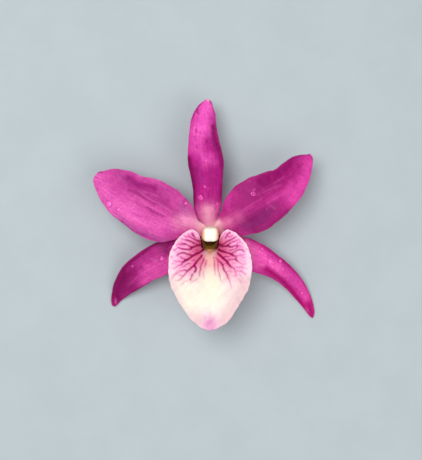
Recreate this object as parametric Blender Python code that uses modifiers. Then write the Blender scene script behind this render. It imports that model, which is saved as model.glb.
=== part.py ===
# Rainbow dance dendrobium orchid: one picked bloom, lying face up.
#
# Metres, +Z up. The flower faces +Z, and +Y runs from the lip's tip to the dorsal sepal's tip.
# The bloom rests on the flattened tips of its two lateral sepals and on its pedicel, which
# leaves the back of the flower, bends over and lies along the surface below the dorsal sepal.
# Shapes are given in millimetres in the flower's own frame: x to the right, y up the dorsal
# sepal, z towards the viewer, with z = 0 where the petals leave the column.

import math

import bmesh
import bpy
from mathutils import Matrix, Vector

MM = 0.001
OBJECT_NAME = "rainbow_dance_dendrobium"

# Where the flower's own origin stands over the surface, with the box's middle at x = y = 0.
FLOWER_PLACE = (1.36, -3.535, 10.95)

TEPAL_THICK = 0.75
LIP_THICK = 0.7
SEAT_GAP = 0.3

# Each tepal is a grid through stations along its midrib:
# x, y, z, half width left and right of the midrib, rise of the left and right margin.
# Left and right are as seen from the front, looking from the base to the tip.
DORSAL_SEPAL = {
    "stations": [
        (0.0, 0.3, -2.4, 1.9, 1.9, -0.3, -0.3),
        (-0.6, 2.6, -1.5, 2.6, 2.5, -0.5, -0.5),
        (-0.75, 6.0, -0.1, 3.6, 3.6, -1.0, -0.9),
        (-0.7, 11.0, 1.3, 4.2, 4.2, -1.7, -1.3),
        (-1.06, 16.7, 2.1, 5.0, 5.0, -2.0, -1.9),
        (-1.5, 21.5, 1.8, 4.65, 4.6, -1.3, -2.0),
        (-1.83, 26.5, 0.6, 3.85, 3.85, -0.8, -1.3),
        (-1.7, 29.8, -0.7, 3.35, 3.45, -0.6, -0.8),
        (-1.3, 32.4, -1.9, 2.3, 2.7, -0.4, -0.5),
        (-0.75, 34.2, -2.9, 1.1, 1.5, -0.2, -0.2),
        (-0.55, 34.95, -3.3, 0.3, 0.3, 0.0, 0.0),
    ],
    "roll": 2.4,
    "wave": (0.12, 3.0, 0.4),
}
PETAL_LEFT = {
    "stations": [
        (-1.7, -0.5, -0.7, 1.3, 1.6, 0.0, 0.0),
        (-4.0, -0.4, 0.2, 2.3, 3.0, 0.1, -0.2),
        (-6.8, 0.8, 1.1, 4.5, 5.9, 0.3, -0.5),
        (-11.3, 2.4, 1.8, 7.2, 8.0, 0.6, -0.8),
        (-14.6, 3.95, 1.9, 7.9, 8.0, 0.8, -0.5),
        (-18.2, 5.6, 1.6, 7.7, 7.4, 0.7, 0.2),
        (-21.6, 7.5, 1.0, 6.8, 6.3, 0.5, 0.5),
        (-24.9, 9.9, 0.2, 6.3, 5.7, 0.2, 0.5),
        (-27.9, 11.8, -0.9, 5.2, 4.4, -0.1, 0.2),
        (-30.2, 13.0, -1.9, 3.1, 2.4, -0.1, 0.0),
        (-31.5, 13.6, -2.5, 1.3, 1.0, 0.0, 0.0),
        (-31.95, 13.8, -2.7, 0.3, 0.3, 0.0, 0.0),
    ],
    "roll": 2.0,
    "wave": (0.35, 3.5, 1.2),
}
PETAL_RIGHT = {
    "stations": [
        (1.65, -0.4, -0.7, 1.6, 1.3, 0.0, 0.0),
        (3.7, 0.15, 0.2, 3.7, 2.7, -0.2, 0.1),
        (6.1, 1.4, 1.0, 5.5, 4.9, -0.5, 0.2),
        (10.2, 4.3, 1.9, 7.2, 7.1, -0.8, 0.5),
        (13.0, 6.2, 2.1, 7.25, 7.25, -0.7, 0.6),
        (17.0, 8.6, 1.8, 6.6, 6.6, -0.3, 0.6),
        (20.6, 11.0, 1.2, 5.5, 5.3, 0.1, 0.4),
        (23.4, 14.1, 0.3, 4.7, 4.2, 0.4, 0.2),
        (25.5, 16.8, -0.7, 3.5, 3.0, 0.3, 0.0),
        (27.0, 18.8, -1.5, 1.5, 1.5, 0.1, 0.0),
        (27.5, 19.8, -1.9, 0.3, 0.3, 0.0, 0.0),
    ],
    "roll": 2.0,
    "wave": (0.3, 3.0, 0.2),
}
LATERAL_SEPAL_LEFT = {
    "stations": [
        (-0.2, -4.0, -5.6, 2.3, 2.3, 0.0, 0.0),
        (-1.7, -4.0, -5.5, 2.6, 2.4, 0.0, 0.1),
        (-3.5, -4.9, -4.7, 3.0, 2.9, -0.1, 0.3),
        (-5.7, -5.9, -3.5, 3.5, 3.3, -0.1, 0.2),
        (-9.2, -7.4, -2.0, 4.1, 3.9, -0.3, -0.2),
        (-13.1, -9.1, -1.2, 4.35, 4.3, -0.6, -0.6),
        (-17.2, -11.2, -2.2, 4.2, 4.2, -0.8, -1.0),
        (-21.3, -14.2, -4.6, 3.8, 3.8, -0.8, -1.2),
        (-24.3, -17.2, -7.3, 2.9, 2.9, -0.6, -0.9),
        (-26.2, -19.9, -9.7, 1.8, 1.8, -0.2, -0.2),
        (-26.9, -21.8, -10.2, 0.95, 0.95, 0.0, 0.0),
        (-26.95, -22.7, -10.25, 0.4, 0.4, 0.0, 0.0),
    ],
    "roll": 2.2,
    "wave": (0.15, 3.0, 0.9),
}
LATERAL_SEPAL_RIGHT = {
    "stations": [
        (0.2, -4.0, -5.6, 2.3, 2.3, 0.0, 0.0),
        (1.7, -4.0, -5.5, 2.4, 2.6, 0.1, 0.0),
        (3.5, -4.9, -4.7, 2.9, 3.0, 0.3, -0.1),
        (5.7, -5.8, -3.5, 3.4, 3.5, 0.2, -0.1),
        (9.4, -7.1, -2.0, 4.1, 4.1, -0.2, -0.3),
        (13.0, -8.8, -1.3, 4.1, 4.1, -0.6, -0.6),
        (16.6, -10.6, -2.2, 3.5, 3.6, -1.0, -1.0),
        (20.0, -13.0, -4.2, 2.95, 2.95, -1.0, -1.5),
        (23.5, -16.6, -6.9, 2.4, 2.4, -0.8, -1.3),
        (26.3, -20.4, -9.2, 1.9, 1.9, -0.4, -0.6),
        (28.2, -23.8, -10.2, 1.1, 1.1, 0.0, 0.0),
        (28.9, -25.9, -10.25, 0.4, 0.4, 0.0, 0.0),
    ],
    "roll": 2.2,
    "wave": (0.15, 3.0, 0.0),
}

# The lip is a fan round its throat, from a U that clasps the column to a crisped margin.
LIP = {
    "throat": (0.0, -5.7),
    "u_centre": (0.0, -5.0),
    "u_half": (2.6, 1.9),
    "u_sweep": 110.0,
    "u_depth": (-4.8, -3.0),
    "sweep": 140.0,
    # Degrees from the tip's direction, and the margin's distance from the throat.
    "margin": [
        (0.0, 22.2),
        (7.0, 21.5),
        (14.0, 20.1),
        (22.5, 18.1),
        (34.0, 16.15),
        (45.0, 14.8),
        (56.5, 13.3),
        (71.0, 11.8),
        (87.0, 10.4),
        (102.0, 9.1),
        (118.0, 8.0),
        (129.0, 7.25),
        (136.0, 6.6),
        (140.0, 5.1),
    ],
    "margin_height": (7.5, 6.0, 6.3),
    "climb": (1.8, 2.6),
    "flare": (1.0, 1.8),
    "crisp": (0.35, 11.0),
}

# The column with its foot: y, z, half width, half height of each section.
COLUMN = [
    (-6.45, -4.55, 0.9, 0.5),
    (-5.9, -4.6, 1.2, 0.62),
    (-4.6, -4.6, 1.4, 0.68),
    (-3.0, -4.45, 1.5, 0.75),
    (-1.85, -3.95, 1.5, 0.95),
    (-1.3, -2.9, 1.4, 1.15),
    (-1.2, -1.2, 1.4, 1.25),
    (-1.5, 1.0, 1.55, 1.5),
    (-2.2, 3.0, 1.95, 2.15),
    (-2.85, 4.55, 2.15, 2.7),
    (-2.91, 4.8, 2.05, 2.6),
]
COLUMN_TILT = math.radians(14)
STIGMA = {"centre": (0.0, -5.0, 4.4), "half": (1.3, 1.35, 2.0)}

CAP = {
    "seat": (0.1, -2.15, 5.15),
    "centre": (0.0, 0.0, 0.25),
    "half": (2.05, 1.85, 1.95),
    "hollow": (1.2, 1.3, 1.2),
}
SURFACE_BLOCK = 100.0
POLLINIA = {"centre": (0.0, 0.0, 0.5), "half": (0.82, 0.75, 0.45), "masses": 4, "pinch": 0.3}

# Ovary and pedicel: x, y, z and radius.
PEDICEL = [
    (0.0, -0.55, -4.55, 1.1),
    (0.0, 0.0, -5.45, 1.05),
    (0.0, 1.1, -7.0, 1.15),
    (0.0, 2.9, -8.6, 1.15),
    (0.0, 5.8, -9.75, 1.05),
    (-0.15, 9.5, -10.1, 0.85),
    (-0.5, 14.0, -10.2, 0.75),
    (-1.0, 19.0, -10.2, 0.75),
    (-1.6, 24.0, -10.15, 0.8),
    (-2.3, 29.5, -10.05, 0.9),
]

MATERIALS = {
    "sepal": ((0.52, 0.03, 0.30), 0.42),
    "petal": ((0.60, 0.06, 0.38), 0.42),
    "lip": ((0.90, 0.66, 0.74), 0.45),
    "column": ((0.62, 0.55, 0.30), 0.4),
    "anther_cap": ((0.90, 0.83, 0.66), 0.35),
    "pollinia": ((0.85, 0.66, 0.16), 0.35),
    "pedicel": ((0.38, 0.16, 0.12), 0.5),
}


def clear_scene():
    for obj in list(bpy.data.objects):
        bpy.data.objects.remove(obj, do_unlink=True)


def make_collection(name):
    collection = bpy.data.collections.new(name)
    bpy.context.scene.collection.children.link(collection)
    return collection


def make_materials():
    made = {}
    for name, (colour, roughness) in MATERIALS.items():
        material = bpy.data.materials.new(name)
        material.use_nodes = True
        shader = material.node_tree.nodes["Principled BSDF"]
        shader.inputs["Base Color"].default_value = (*colour, 1.0)
        shader.inputs["Roughness"].default_value = roughness
        shader.inputs["Metallic"].default_value = 0.0
        made[name] = material
    return made


def curve_through(rows, t):
    # Catmull-Rom value of a list of equal rows, with t from 0 at the first to 1 at the last.
    spans = len(rows) - 1
    i = min(int(t * spans), spans - 1)
    f = t * spans - i
    before = rows[i - 1] if i > 0 else [2 * a - b for a, b in zip(rows[0], rows[1])]
    after = rows[i + 2] if i + 2 <= spans else [2 * a - b for a, b in zip(rows[-1], rows[-2])]
    value = []
    for a, b, c, d in zip(before, rows[i], rows[i + 1], after):
        cubic = 3 * b - 3 * c + d - a
        square = 2 * a - 5 * b + 4 * c - d
        value.append(0.5 * (2 * b + (c - a) * f + square * f**2 + cubic * f**3))
    return value


def table_value(rows, x):
    # The smooth curve through (x, value) rows, read at x.
    last = len(rows) - 2
    i = max(k for k in range(last + 1) if k == 0 or rows[k][0] <= x)
    f = (x - rows[i][0]) / (rows[i + 1][0] - rows[i][0])
    return curve_through([row[1:] for row in rows], (i + f) / (len(rows) - 1))[0]


def blade_point(tepal, t, u):
    # t runs from base to tip, and u from -1 at the left margin to 1 at the right one.
    stations = tepal["stations"]
    x, y, z, left, right, rise_left, rise_right = curve_through(stations, t)
    step = 0.01
    ahead = curve_through(stations, min(t + step, 1.0))
    behind = curve_through(stations, max(t - step, 0.0))
    along = Vector((ahead[0] - behind[0], ahead[1] - behind[1])).normalized()
    side = Vector((along.y, -along.x))
    width, rise = (left, rise_left) if u < 0 else (right, rise_right)
    height, count, phase = tepal["wave"]
    fade = math.sin(math.pi * t) * abs(u) ** 3
    wave = height * fade * math.sin(2 * math.pi * count * t + phase + 1.5 * u)
    place = Vector((x, y)) + side * (width * u)
    return Vector((place.x, place.y, z + rise * abs(u) ** tepal["roll"] + wave))


def lip_point(s, v):
    # s runs across the lip from lobe to lobe, and v from its base to the margin.
    side = abs(s)
    bend = math.radians(-LIP["u_sweep"] * s)
    base = Vector(
        (
            LIP["u_centre"][0] + LIP["u_half"][0] * math.sin(bend),
            LIP["u_centre"][1] - LIP["u_half"][1] * math.cos(bend),
        )
    )
    turn = math.radians(-LIP["sweep"] * s)
    reach = table_value(LIP["margin"], LIP["sweep"] * side)
    throat = Vector(LIP["throat"])
    margin = throat + Vector((math.sin(turn), -math.cos(turn))) * reach
    front, middle, lobe = LIP["margin_height"]
    top = front + (middle - front) * math.sin(math.pi * min(side, 0.5)) ** 2
    if side > 0.5:
        top = middle + (lobe - middle) * (2 * side - 1)
    bottom = LIP["u_depth"][0] + (LIP["u_depth"][1] - LIP["u_depth"][0]) * side**1.3
    climb = LIP["climb"][0] + (LIP["climb"][1] - LIP["climb"][0]) * side
    flare = LIP["flare"][0] + (LIP["flare"][1] - LIP["flare"][0]) * side
    place = base + (margin - base) * v**flare
    height, count = LIP["crisp"]
    crisp = height * v**4 * math.sin(math.pi * count * s) * min(1.0, 4 * (1 - side))
    z = bottom + (top - bottom) * (1 - (1 - v) ** climb) + crisp
    return Vector((place.x, place.y, z))


def place_mesh(name, bm, material, collection, parent):
    # Turns the millimetres of the flower's frame into metres and hangs the object on the bloom.
    bmesh.ops.scale(bm, vec=(MM, MM, MM), verts=bm.verts[:])
    mesh = bpy.data.meshes.new(name)
    bm.to_mesh(mesh)
    bm.free()
    mesh.materials.append(material)
    mesh.shade_smooth()
    obj = bpy.data.objects.new(name, mesh)
    obj.parent = parent
    collection.objects.link(obj)
    return obj


def make_sheet(name, point, across, along, thickness, material, collection, parent):
    # A sheet of flat triangles through point(u, t), thickened away from the viewer.
    bm = bmesh.new()
    bmesh.ops.create_grid(bm, x_segments=across, y_segments=along, size=1.0)
    for vert in bm.verts:
        vert.co = point(vert.co.x, (vert.co.y + 1) / 2)
    bmesh.ops.triangulate(bm, faces=bm.faces[:])
    obj = place_mesh(name, bm, material, collection, parent)
    solid = obj.modifiers.new("thickness", "SOLIDIFY")
    solid.thickness = thickness * MM
    solid.offset = -1.0
    return obj


def make_tepal(name, tepal, across, along, material, collection, parent):
    def point(u, t):
        return blade_point(tepal, t, u)

    return make_sheet(name, point, across, along, TEPAL_THICK, material, collection, parent)


def ring_of(centre, tilt_axis, half_width, half_height, sides):
    # A rounded section square to the column's path in the plane x = 0.
    across = Vector((1.0, 0.0, 0.0))
    up = across.cross(tilt_axis)
    ring = []
    for k in range(sides):
        angle = 2 * math.pi * k / sides
        ring.append(centre + across * half_width * math.cos(angle) - up * half_height * math.sin(angle))
    return ring


def loft(rings):
    # A closed body through rings of points, with a flat cap at each end.
    bm = bmesh.new()
    rows = [[bm.verts.new(p) for p in ring] for ring in rings]
    count = len(rows[0])
    for low, high in zip(rows, rows[1:]):
        for k in range(count):
            n = (k + 1) % count
            bm.faces.new((low[k], low[n], high[n], high[k]))
    bm.faces.new(reversed(rows[0]))
    bm.faces.new(rows[-1])
    bmesh.ops.recalc_face_normals(bm, faces=bm.faces[:])
    return bm


def make_column(material, collection, parent):
    sections, steps, sides = COLUMN, 22, 16
    rings = []
    for k in range(steps + 1):
        t = k / steps
        y, z, half_width, half_height = curve_through(sections, t)
        ahead = curve_through(sections, min(t + 0.02, 1.0))
        behind = curve_through(sections, max(t - 0.02, 0.0))
        along = Vector((0.0, ahead[0] - behind[0], ahead[1] - behind[1])).normalized()
        rings.append(ring_of(Vector((0.0, y, z)), along, half_width, half_height, sides))
    bm = loft(rings)
    bmesh.ops.triangulate(bm, faces=[f for f in bm.faces if len(f.verts) > 4])
    return place_mesh("column", bm, material, collection, parent)


def squarish(point, power):
    # Pushes a point of the unit sphere towards a rounded box.
    return Vector([math.copysign(abs(c) ** power, c) for c in point])


def ellipsoid(bm, centre, half, power=1.0, segments=16, rings=10):
    made = bmesh.ops.create_uvsphere(bm, u_segments=segments, v_segments=rings, radius=1.0)
    for vert in made["verts"]:
        shaped = squarish(vert.co, power)
        vert.co = Vector(centre) + Vector([c * h for c, h in zip(shaped, half)])


def make_cutter(name, build, collection, parent):
    bm = bmesh.new()
    build(bm)
    obj = place_mesh(name, bm, bpy.data.materials["column"], collection, parent)
    obj.hide_render = True
    obj.display_type = "WIRE"
    return obj


def cut(obj, cutter):
    modifier = obj.modifiers.new(cutter.name, "BOOLEAN")
    modifier.operation = "DIFFERENCE"
    modifier.solver = "EXACT"
    modifier.object = cutter


def make_cap(material, collection, parent):
    # The cap is modelled upright about its seat on the column and leans with the column's end.
    bm = bmesh.new()
    ellipsoid(bm, CAP["centre"], CAP["half"], power=0.8, segments=20, rings=14)
    everything = bm.verts[:] + bm.edges[:] + bm.faces[:]
    seat_height = Vector((0.0, 0.0, SEAT_GAP))
    bmesh.ops.bisect_plane(bm, geom=everything, plane_co=seat_height, plane_no=(0, 0, 1), clear_inner=True)
    bmesh.ops.holes_fill(bm, edges=[e for e in bm.edges if e.is_boundary], sides=0)
    obj = place_mesh("anther_cap", bm, material, collection, parent)
    obj.matrix_local = seat_matrix()
    return obj


def seat_matrix():
    return Matrix.Translation(Vector(CAP["seat"]) * MM) @ Matrix.Rotation(COLUMN_TILT, 4, "X")


def make_pollinia(material, collection, parent):
    # Four waxy masses pressed side by side, lying on the column's end inside the cap.
    half = POLLINIA["half"]
    bm = bmesh.new()
    ellipsoid(bm, POLLINIA["centre"], half, segments=24, rings=10)
    for vert in bm.verts:
        side = (vert.co.x / half[0] + 1) / 2
        plump = abs(math.sin(math.pi * POLLINIA["masses"] * side))
        vert.co.y *= 1 - POLLINIA["pinch"] * (1 - plump)
    obj = place_mesh("pollinia", bm, material, collection, parent)
    obj.matrix_local = seat_matrix()
    return obj


def make_pedicel(material, collection, parent):
    points, sides = 26, 3
    data = bpy.data.curves.new("pedicel", "CURVE")
    data.dimensions = "3D"
    data.bevel_depth = MM
    data.bevel_resolution = sides
    data.use_fill_caps = True
    spline = data.splines.new("POLY")
    spline.points.add(points - 1)
    for k, point in enumerate(spline.points):
        x, y, z, radius = curve_through(PEDICEL, k / (points - 1))
        point.co = (x * MM, y * MM, z * MM, 1.0)
        point.radius = radius
    data.materials.append(material)
    obj = bpy.data.objects.new("pedicel", data)
    obj.parent = parent
    collection.objects.link(obj)
    return obj


def main():
    clear_scene()
    parts = make_collection(OBJECT_NAME)
    cutters = make_collection("cutters")
    materials = make_materials()
    bloom = bpy.data.objects.new("bloom", None)
    bloom.location = Vector(FLOWER_PLACE) * MM
    parts.objects.link(bloom)

    sepal, petal = materials["sepal"], materials["petal"]
    make_tepal("dorsal_sepal", DORSAL_SEPAL, 8, 20, sepal, parts, bloom)
    make_tepal("petal_left", PETAL_LEFT, 12, 22, petal, parts, bloom)
    make_tepal("petal_right", PETAL_RIGHT, 12, 22, petal, parts, bloom)
    laterals = [
        make_tepal("lateral_sepal_left", LATERAL_SEPAL_LEFT, 8, 22, sepal, parts, bloom),
        make_tepal("lateral_sepal_right", LATERAL_SEPAL_RIGHT, 8, 22, sepal, parts, bloom),
    ]
    make_sheet("lip", lip_point, 44, 12, LIP_THICK, materials["lip"], parts, bloom)
    column = make_column(materials["column"], parts, bloom)
    cap = make_cap(materials["anther_cap"], parts, bloom)
    make_pollinia(materials["pollinia"], parts, bloom)
    make_pedicel(materials["pedicel"], parts, bloom)

    def below_the_surface(bm):
        bmesh.ops.create_cube(bm, size=SURFACE_BLOCK)
        drop = -FLOWER_PLACE[2] - SURFACE_BLOCK / 2
        bmesh.ops.translate(bm, vec=(0.0, 0.0, drop), verts=bm.verts[:])

    def stigma_hollow(bm):
        ellipsoid(bm, STIGMA["centre"], STIGMA["half"])

    def cap_hollow(bm):
        ellipsoid(bm, CAP["centre"], CAP["hollow"])

    surface_cutter = make_cutter("surface_cutter", below_the_surface, cutters, bloom)
    for lateral in laterals:
        cut(lateral, surface_cutter)
    cut(column, make_cutter("stigma_cutter", stigma_hollow, cutters, bloom))
    cap_cutter = make_cutter("cap_cutter", cap_hollow, cutters, bloom)
    cap_cutter.matrix_local = seat_matrix()
    cut(cap, cap_cutter)


main()
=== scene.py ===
# Rainbow dance dendrobium orchid: fine surfaces, finishes, light and camera for one picked bloom.
#
# The flower lies face up and the camera looks down on it. Shapes are in millimetres in the
# flower's own frame (x to the right, y up the dorsal sepal, z towards the camera) and become
# the part's metres when a mesh is made.

import math
import random

import bmesh
import bpy
import numpy as np
from mathutils import Matrix, Vector


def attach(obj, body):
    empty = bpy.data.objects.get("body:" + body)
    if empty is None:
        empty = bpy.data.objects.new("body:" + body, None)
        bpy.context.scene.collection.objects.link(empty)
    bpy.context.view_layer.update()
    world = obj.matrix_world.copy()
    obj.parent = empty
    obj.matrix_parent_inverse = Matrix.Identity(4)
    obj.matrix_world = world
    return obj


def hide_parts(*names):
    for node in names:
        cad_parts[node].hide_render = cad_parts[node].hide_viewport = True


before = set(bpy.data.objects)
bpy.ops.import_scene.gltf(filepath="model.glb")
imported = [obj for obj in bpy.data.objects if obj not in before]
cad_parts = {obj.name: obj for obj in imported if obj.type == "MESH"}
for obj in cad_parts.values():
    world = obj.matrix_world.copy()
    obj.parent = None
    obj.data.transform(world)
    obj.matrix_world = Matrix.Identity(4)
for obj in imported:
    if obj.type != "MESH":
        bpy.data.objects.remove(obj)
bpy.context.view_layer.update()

mm = 0.001
flowerPlace = (1.36, -3.535, 10.95)  # the flower's own origin, over the surface it lies on

setting = {
    # The floor's size is in metres, and keeps its edges out of every view.
    "floor": {"colour": (184, 195, 198), "size": 8.0, "patches": 60.0, "darker": 0.96, "rough": 0.8},
    "sky": {"colour": (0.97, 0.98, 1.0, 1.0), "strength": 0.45},
    "key": {"place": (-110, 70, 430), "size": 260, "power": 1.2},
    "fill": {"place": (200, -160, 360), "size": 380, "power": 0.52},
    "camera": {"place": (0.27, -1.09, 300.0), "lens": 93.85},
}


# Smooth curves, waves and brush strokes

def curveThrough(rows, place):
    # The smooth curve through equal rows, read at places from 0 at the first to 1 at the last.
    table = np.array(rows, float)
    spans = len(table) - 1
    ends = np.vstack([2 * table[0] - table[1], table, 2 * table[-1] - table[-2]])
    along = np.clip(place, 0, 1) * spans
    i = np.minimum(along.astype(int), spans - 1)
    f = (along - i)[..., None]
    a, b, c, d = (ends[i + k] for k in range(4))
    return 0.5 * (2 * b + (c - a) * f + (2 * a - 5 * b + 4 * c - d) * f**2 + (3 * b - 3 * c + d - a) * f**3)


def smooth(value, low, high):
    # 0 below low, 1 above high and a soft step between them; also works with low above high.
    f = np.clip((value - low) / (high - low), 0, 1)
    return f * f * (3 - 2 * f)


def softWaves(x, y, size, seed, count=10):
    # Gentle bumps about size millimetres across, from about -1 to 1.
    draw = random.Random(seed)
    total = np.zeros_like(x)
    for _ in range(count):
        angle = draw.uniform(0, 2 * math.pi)
        pace = 2 * math.pi / size * draw.uniform(0.6, 1.6)
        total += np.sin(pace * (x * math.cos(angle) + y * math.sin(angle)) + draw.uniform(0, 6.3))
    return total / math.sqrt(count)


def nearLine(x, y, line, widths):
    # 1 on a line of points, fading to nothing over its width there, and how far along it lies.
    near, place = np.zeros_like(x), np.zeros_like(x)
    widths = np.broadcast_to(widths, len(line))
    spans = max(len(line) - 1, 1)
    for k in range(spans):
        n = min(k + 1, len(line) - 1)
        (ax, ay), (bx, by) = line[k], line[n]
        dx, dy = bx - ax, by - ay
        f = np.clip(((x - ax) * dx + (y - ay) * dy) / max(dx * dx + dy * dy, 1e-9), 0, 1)
        gap = np.hypot(x - ax - f * dx, y - ay - f * dy)
        here = np.exp(-((gap / (widths[k] + (widths[n] - widths[k]) * f)) ** 2))
        place = np.where(here > near, (k + f) / spans, place)
        near = np.maximum(near, here)
    return near, place


def mirrored(strokes):
    return strokes + [(strength, width, [(-x, y) for x, y in line]) for strength, width, line in strokes]


def paint(x, y, strokes):
    # Soft brush strokes laid over each other, as a mask from 0 to 1.
    bare = np.ones_like(x)
    for strength, width, line in strokes:
        bare *= 1 - strength * nearLine(x, y, line, width)[0]
    return 1 - bare


def seenFromAbove(points):
    # Strokes, veins and drops are placed as the camera sees them: nearer points lie further out.
    nearer = setting["camera"]["place"][2] / (setting["camera"]["place"][2] - points[..., 2])
    return points[..., 0] * nearer, points[..., 1] * nearer


# Meshes

def makeMesh(name, verts, faces, marks, uv=None):
    mesh = bpy.data.meshes.new(name)
    mesh.from_pydata(((verts + np.array(flowerPlace)) * mm).tolist(), [], faces)
    for label, values in marks.items():
        layer = mesh.attributes.new(label, "FLOAT", "POINT")
        layer.data.foreach_set("value", np.asarray(values, np.float32).ravel())
    if uv is not None:
        corners = np.zeros(len(mesh.loops), np.int32)
        mesh.loops.foreach_get("vertex_index", corners)
        mesh.uv_layers.new(name="grown").data.foreach_set("uv", uv[corners].astype(np.float32).ravel())
    bm = bmesh.new()
    bm.from_mesh(mesh)
    bmesh.ops.recalc_face_normals(bm, faces=bm.faces[:])
    bm.to_mesh(mesh)
    bm.free()
    mesh.shade_smooth()
    piece = bpy.data.objects.new(name, mesh)
    bpy.context.scene.collection.objects.link(piece)
    return piece


def surfaceNormals(surface):
    normal = np.cross(np.gradient(surface, axis=1), np.gradient(surface, axis=0))
    return normal / np.linalg.norm(normal, axis=-1, keepdims=True)


def closedSheet(name, front, back, marks, uv):
    # Front and back are equal grids of points whose four edges are the same points.
    rows, columns = front.shape[:2]
    top = np.arange(rows * columns).reshape(rows, columns)
    under = top.copy()
    inner = (rows - 2) * (columns - 2)
    under[1:-1, 1:-1] = rows * columns + np.arange(inner).reshape(rows - 2, columns - 2)

    def both(values):
        wide = values.reshape(rows, columns, -1)
        return np.vstack([wide.reshape(rows * columns, -1), wide[1:-1, 1:-1].reshape(inner, -1)])

    def quads(ids):
        return np.stack([ids[:-1, :-1], ids[:-1, 1:], ids[1:, 1:], ids[1:, :-1]], -1).reshape(-1, 4)

    verts = np.vstack([front.reshape(-1, 3), back[1:-1, 1:-1].reshape(-1, 3)])
    faces = quads(top).tolist() + quads(under)[:, ::-1].tolist()
    layers = {label: both(values) for label, values in marks.items()}
    layers["back"] = np.concatenate([np.zeros(rows * columns), np.ones(inner)])
    return makeMesh(name, verts, faces, layers, both(uv))


def ringBody(name, rings, marks):
    # A closed body through rings of points, with a point in the middle of its first and last ring.
    count, sides = rings.shape[:2]
    ids = np.arange(count * sides).reshape(count, sides)
    beside = np.roll(ids, -1, axis=1)
    faces = np.stack([ids[:-1], beside[:-1], beside[1:], ids[1:]], -1).reshape(-1, 4).tolist()
    for ring, centre in ((0, count * sides), (-1, count * sides + 1)):
        faces += [[int(a), int(b), centre] for a, b in zip(ids[ring], beside[ring])]
    verts = np.vstack([rings.reshape(-1, 3), rings[0].mean(0), rings[-1].mean(0)])
    layers = {}
    for label, values in marks.items():
        wide = np.broadcast_to(values, (count, sides))
        layers[label] = np.concatenate([wide.ravel(), [wide[0].mean(), wide[-1].mean()]])
    return makeMesh(name, verts, faces, layers)


def dress(piece, material, slot, *nodes):
    piece.data.materials.append(material)
    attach(piece, "root")
    if nodes:
        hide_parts(*nodes)


# Shader nodes

def colour(red, green, blue):
    # A paint swatch given as 0 to 255 on screen, as the shader's linear colour.
    def linear(value):
        value /= 255
        return value / 12.92 if value <= 0.04045 else ((value + 0.055) / 1.055) ** 2.4
    return (linear(red), linear(green), linear(blue), 1.0)


def addNode(tree, kind, values=(), **settings):
    node = tree.nodes.new(kind)
    for key, value in settings.items():
        setattr(node, key, value)
    for key, value in dict(values).items():
        if isinstance(value, bpy.types.NodeSocket):
            tree.links.new(value, node.inputs[key])
        else:
            node.inputs[key].default_value = value
    return node


def calc(tree, operation, first, second=0.0):
    return addNode(tree, "ShaderNodeMath", {0: first, 1: second}, operation=operation).outputs[0]


def blendColour(tree, share, first, second, way="MIX"):
    node = addNode(tree, "ShaderNodeMix", {0: share, 6: first, 7: second}, data_type="RGBA", blend_type=way)
    return node.outputs[2]


def stepBetween(tree, value, low, high):
    node = addNode(tree, "ShaderNodeMapRange", {"Value": value, "From Min": low, "From Max": high},
                   interpolation_type="SMOOTHSTEP")
    return node.outputs[0]


def mark(tree, name, share=None):
    # A mark painted on the mesh, weakened to a share of itself where one is given.
    value = addNode(tree, "ShaderNodeAttribute", attribute_name=name).outputs["Fac"]
    return value if share is None else calc(tree, "MULTIPLY", value, share)


def tinted(tree, paintwork, tint):
    return blendColour(tree, 1.0, paintwork, tint, "MULTIPLY")


def startGroup(name, inputs, outputs):
    # An input with no usual value is a place, and all the other sockets are numbers.
    group = bpy.data.node_groups.new(name, "ShaderNodeTree")
    for label, value in inputs.items():
        kind = "NodeSocketVector" if value is None else "NodeSocketFloat"
        socket = group.interface.new_socket(name=label, in_out="INPUT", socket_type=kind)
        if value is not None:
            socket.default_value = value
    for label in outputs:
        group.interface.new_socket(name=label, in_out="OUTPUT", socket_type="NodeSocketFloat")
    start = group.nodes.new("NodeGroupInput")
    end = group.nodes.new("NodeGroupOutput")
    return group, start.outputs, end.inputs


def makeTissueGrain():
    # Swollen surface cells that glint here and there, as fresh petals do.
    inputs = {"Place": None, "Cells": 4200.0, "Glints": 0.5}
    group, given, made = startGroup("tissueGrain", inputs, ["Height", "Glint"])
    cells = addNode(group, "ShaderNodeTexVoronoi", {"Vector": given["Place"], "Scale": given["Cells"]})
    drift = addNode(group, "ShaderNodeTexNoise", {"Vector": given["Place"], "Scale": 1500.0, "Detail": 3.0})
    dome = calc(group, "SUBTRACT", 1.0, cells.outputs["Distance"])
    group.links.new(calc(group, "ADD", dome, drift.outputs["Fac"]), made["Height"])
    tops = stepBetween(group, dome, 0.72, 0.95)
    patches = stepBetween(group, drift.outputs["Fac"], 0.5, 0.72)
    glint = calc(group, "MULTIPLY", calc(group, "MULTIPLY", tops, patches), given["Glints"])
    group.links.new(glint, made["Glint"])
    return group


def makeLengthStreaks():
    # Fine light and dark streaks that run lengthwise between the veins.
    inputs = {"Place": None, "Across": 40.0, "Along": 3.0}
    group, given, made = startGroup("lengthStreaks", inputs, ["Streak"])
    stretch = addNode(group, "ShaderNodeCombineXYZ", {"X": given["Across"], "Y": given["Along"], "Z": 1.0})
    place = addNode(group, "ShaderNodeVectorMath", {0: given["Place"], 1: stretch.outputs[0]},
                    operation="MULTIPLY")
    weave = {"Scale": 1.0, "Detail": 4.0, "Roughness": 0.62, "Distortion": 0.35}
    noise = addNode(group, "ShaderNodeTexNoise", {"Vector": place.outputs[0], **weave})
    group.links.new(stepBetween(group, noise.outputs["Fac"], 0.35, 0.68), made["Streak"])
    return group


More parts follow.
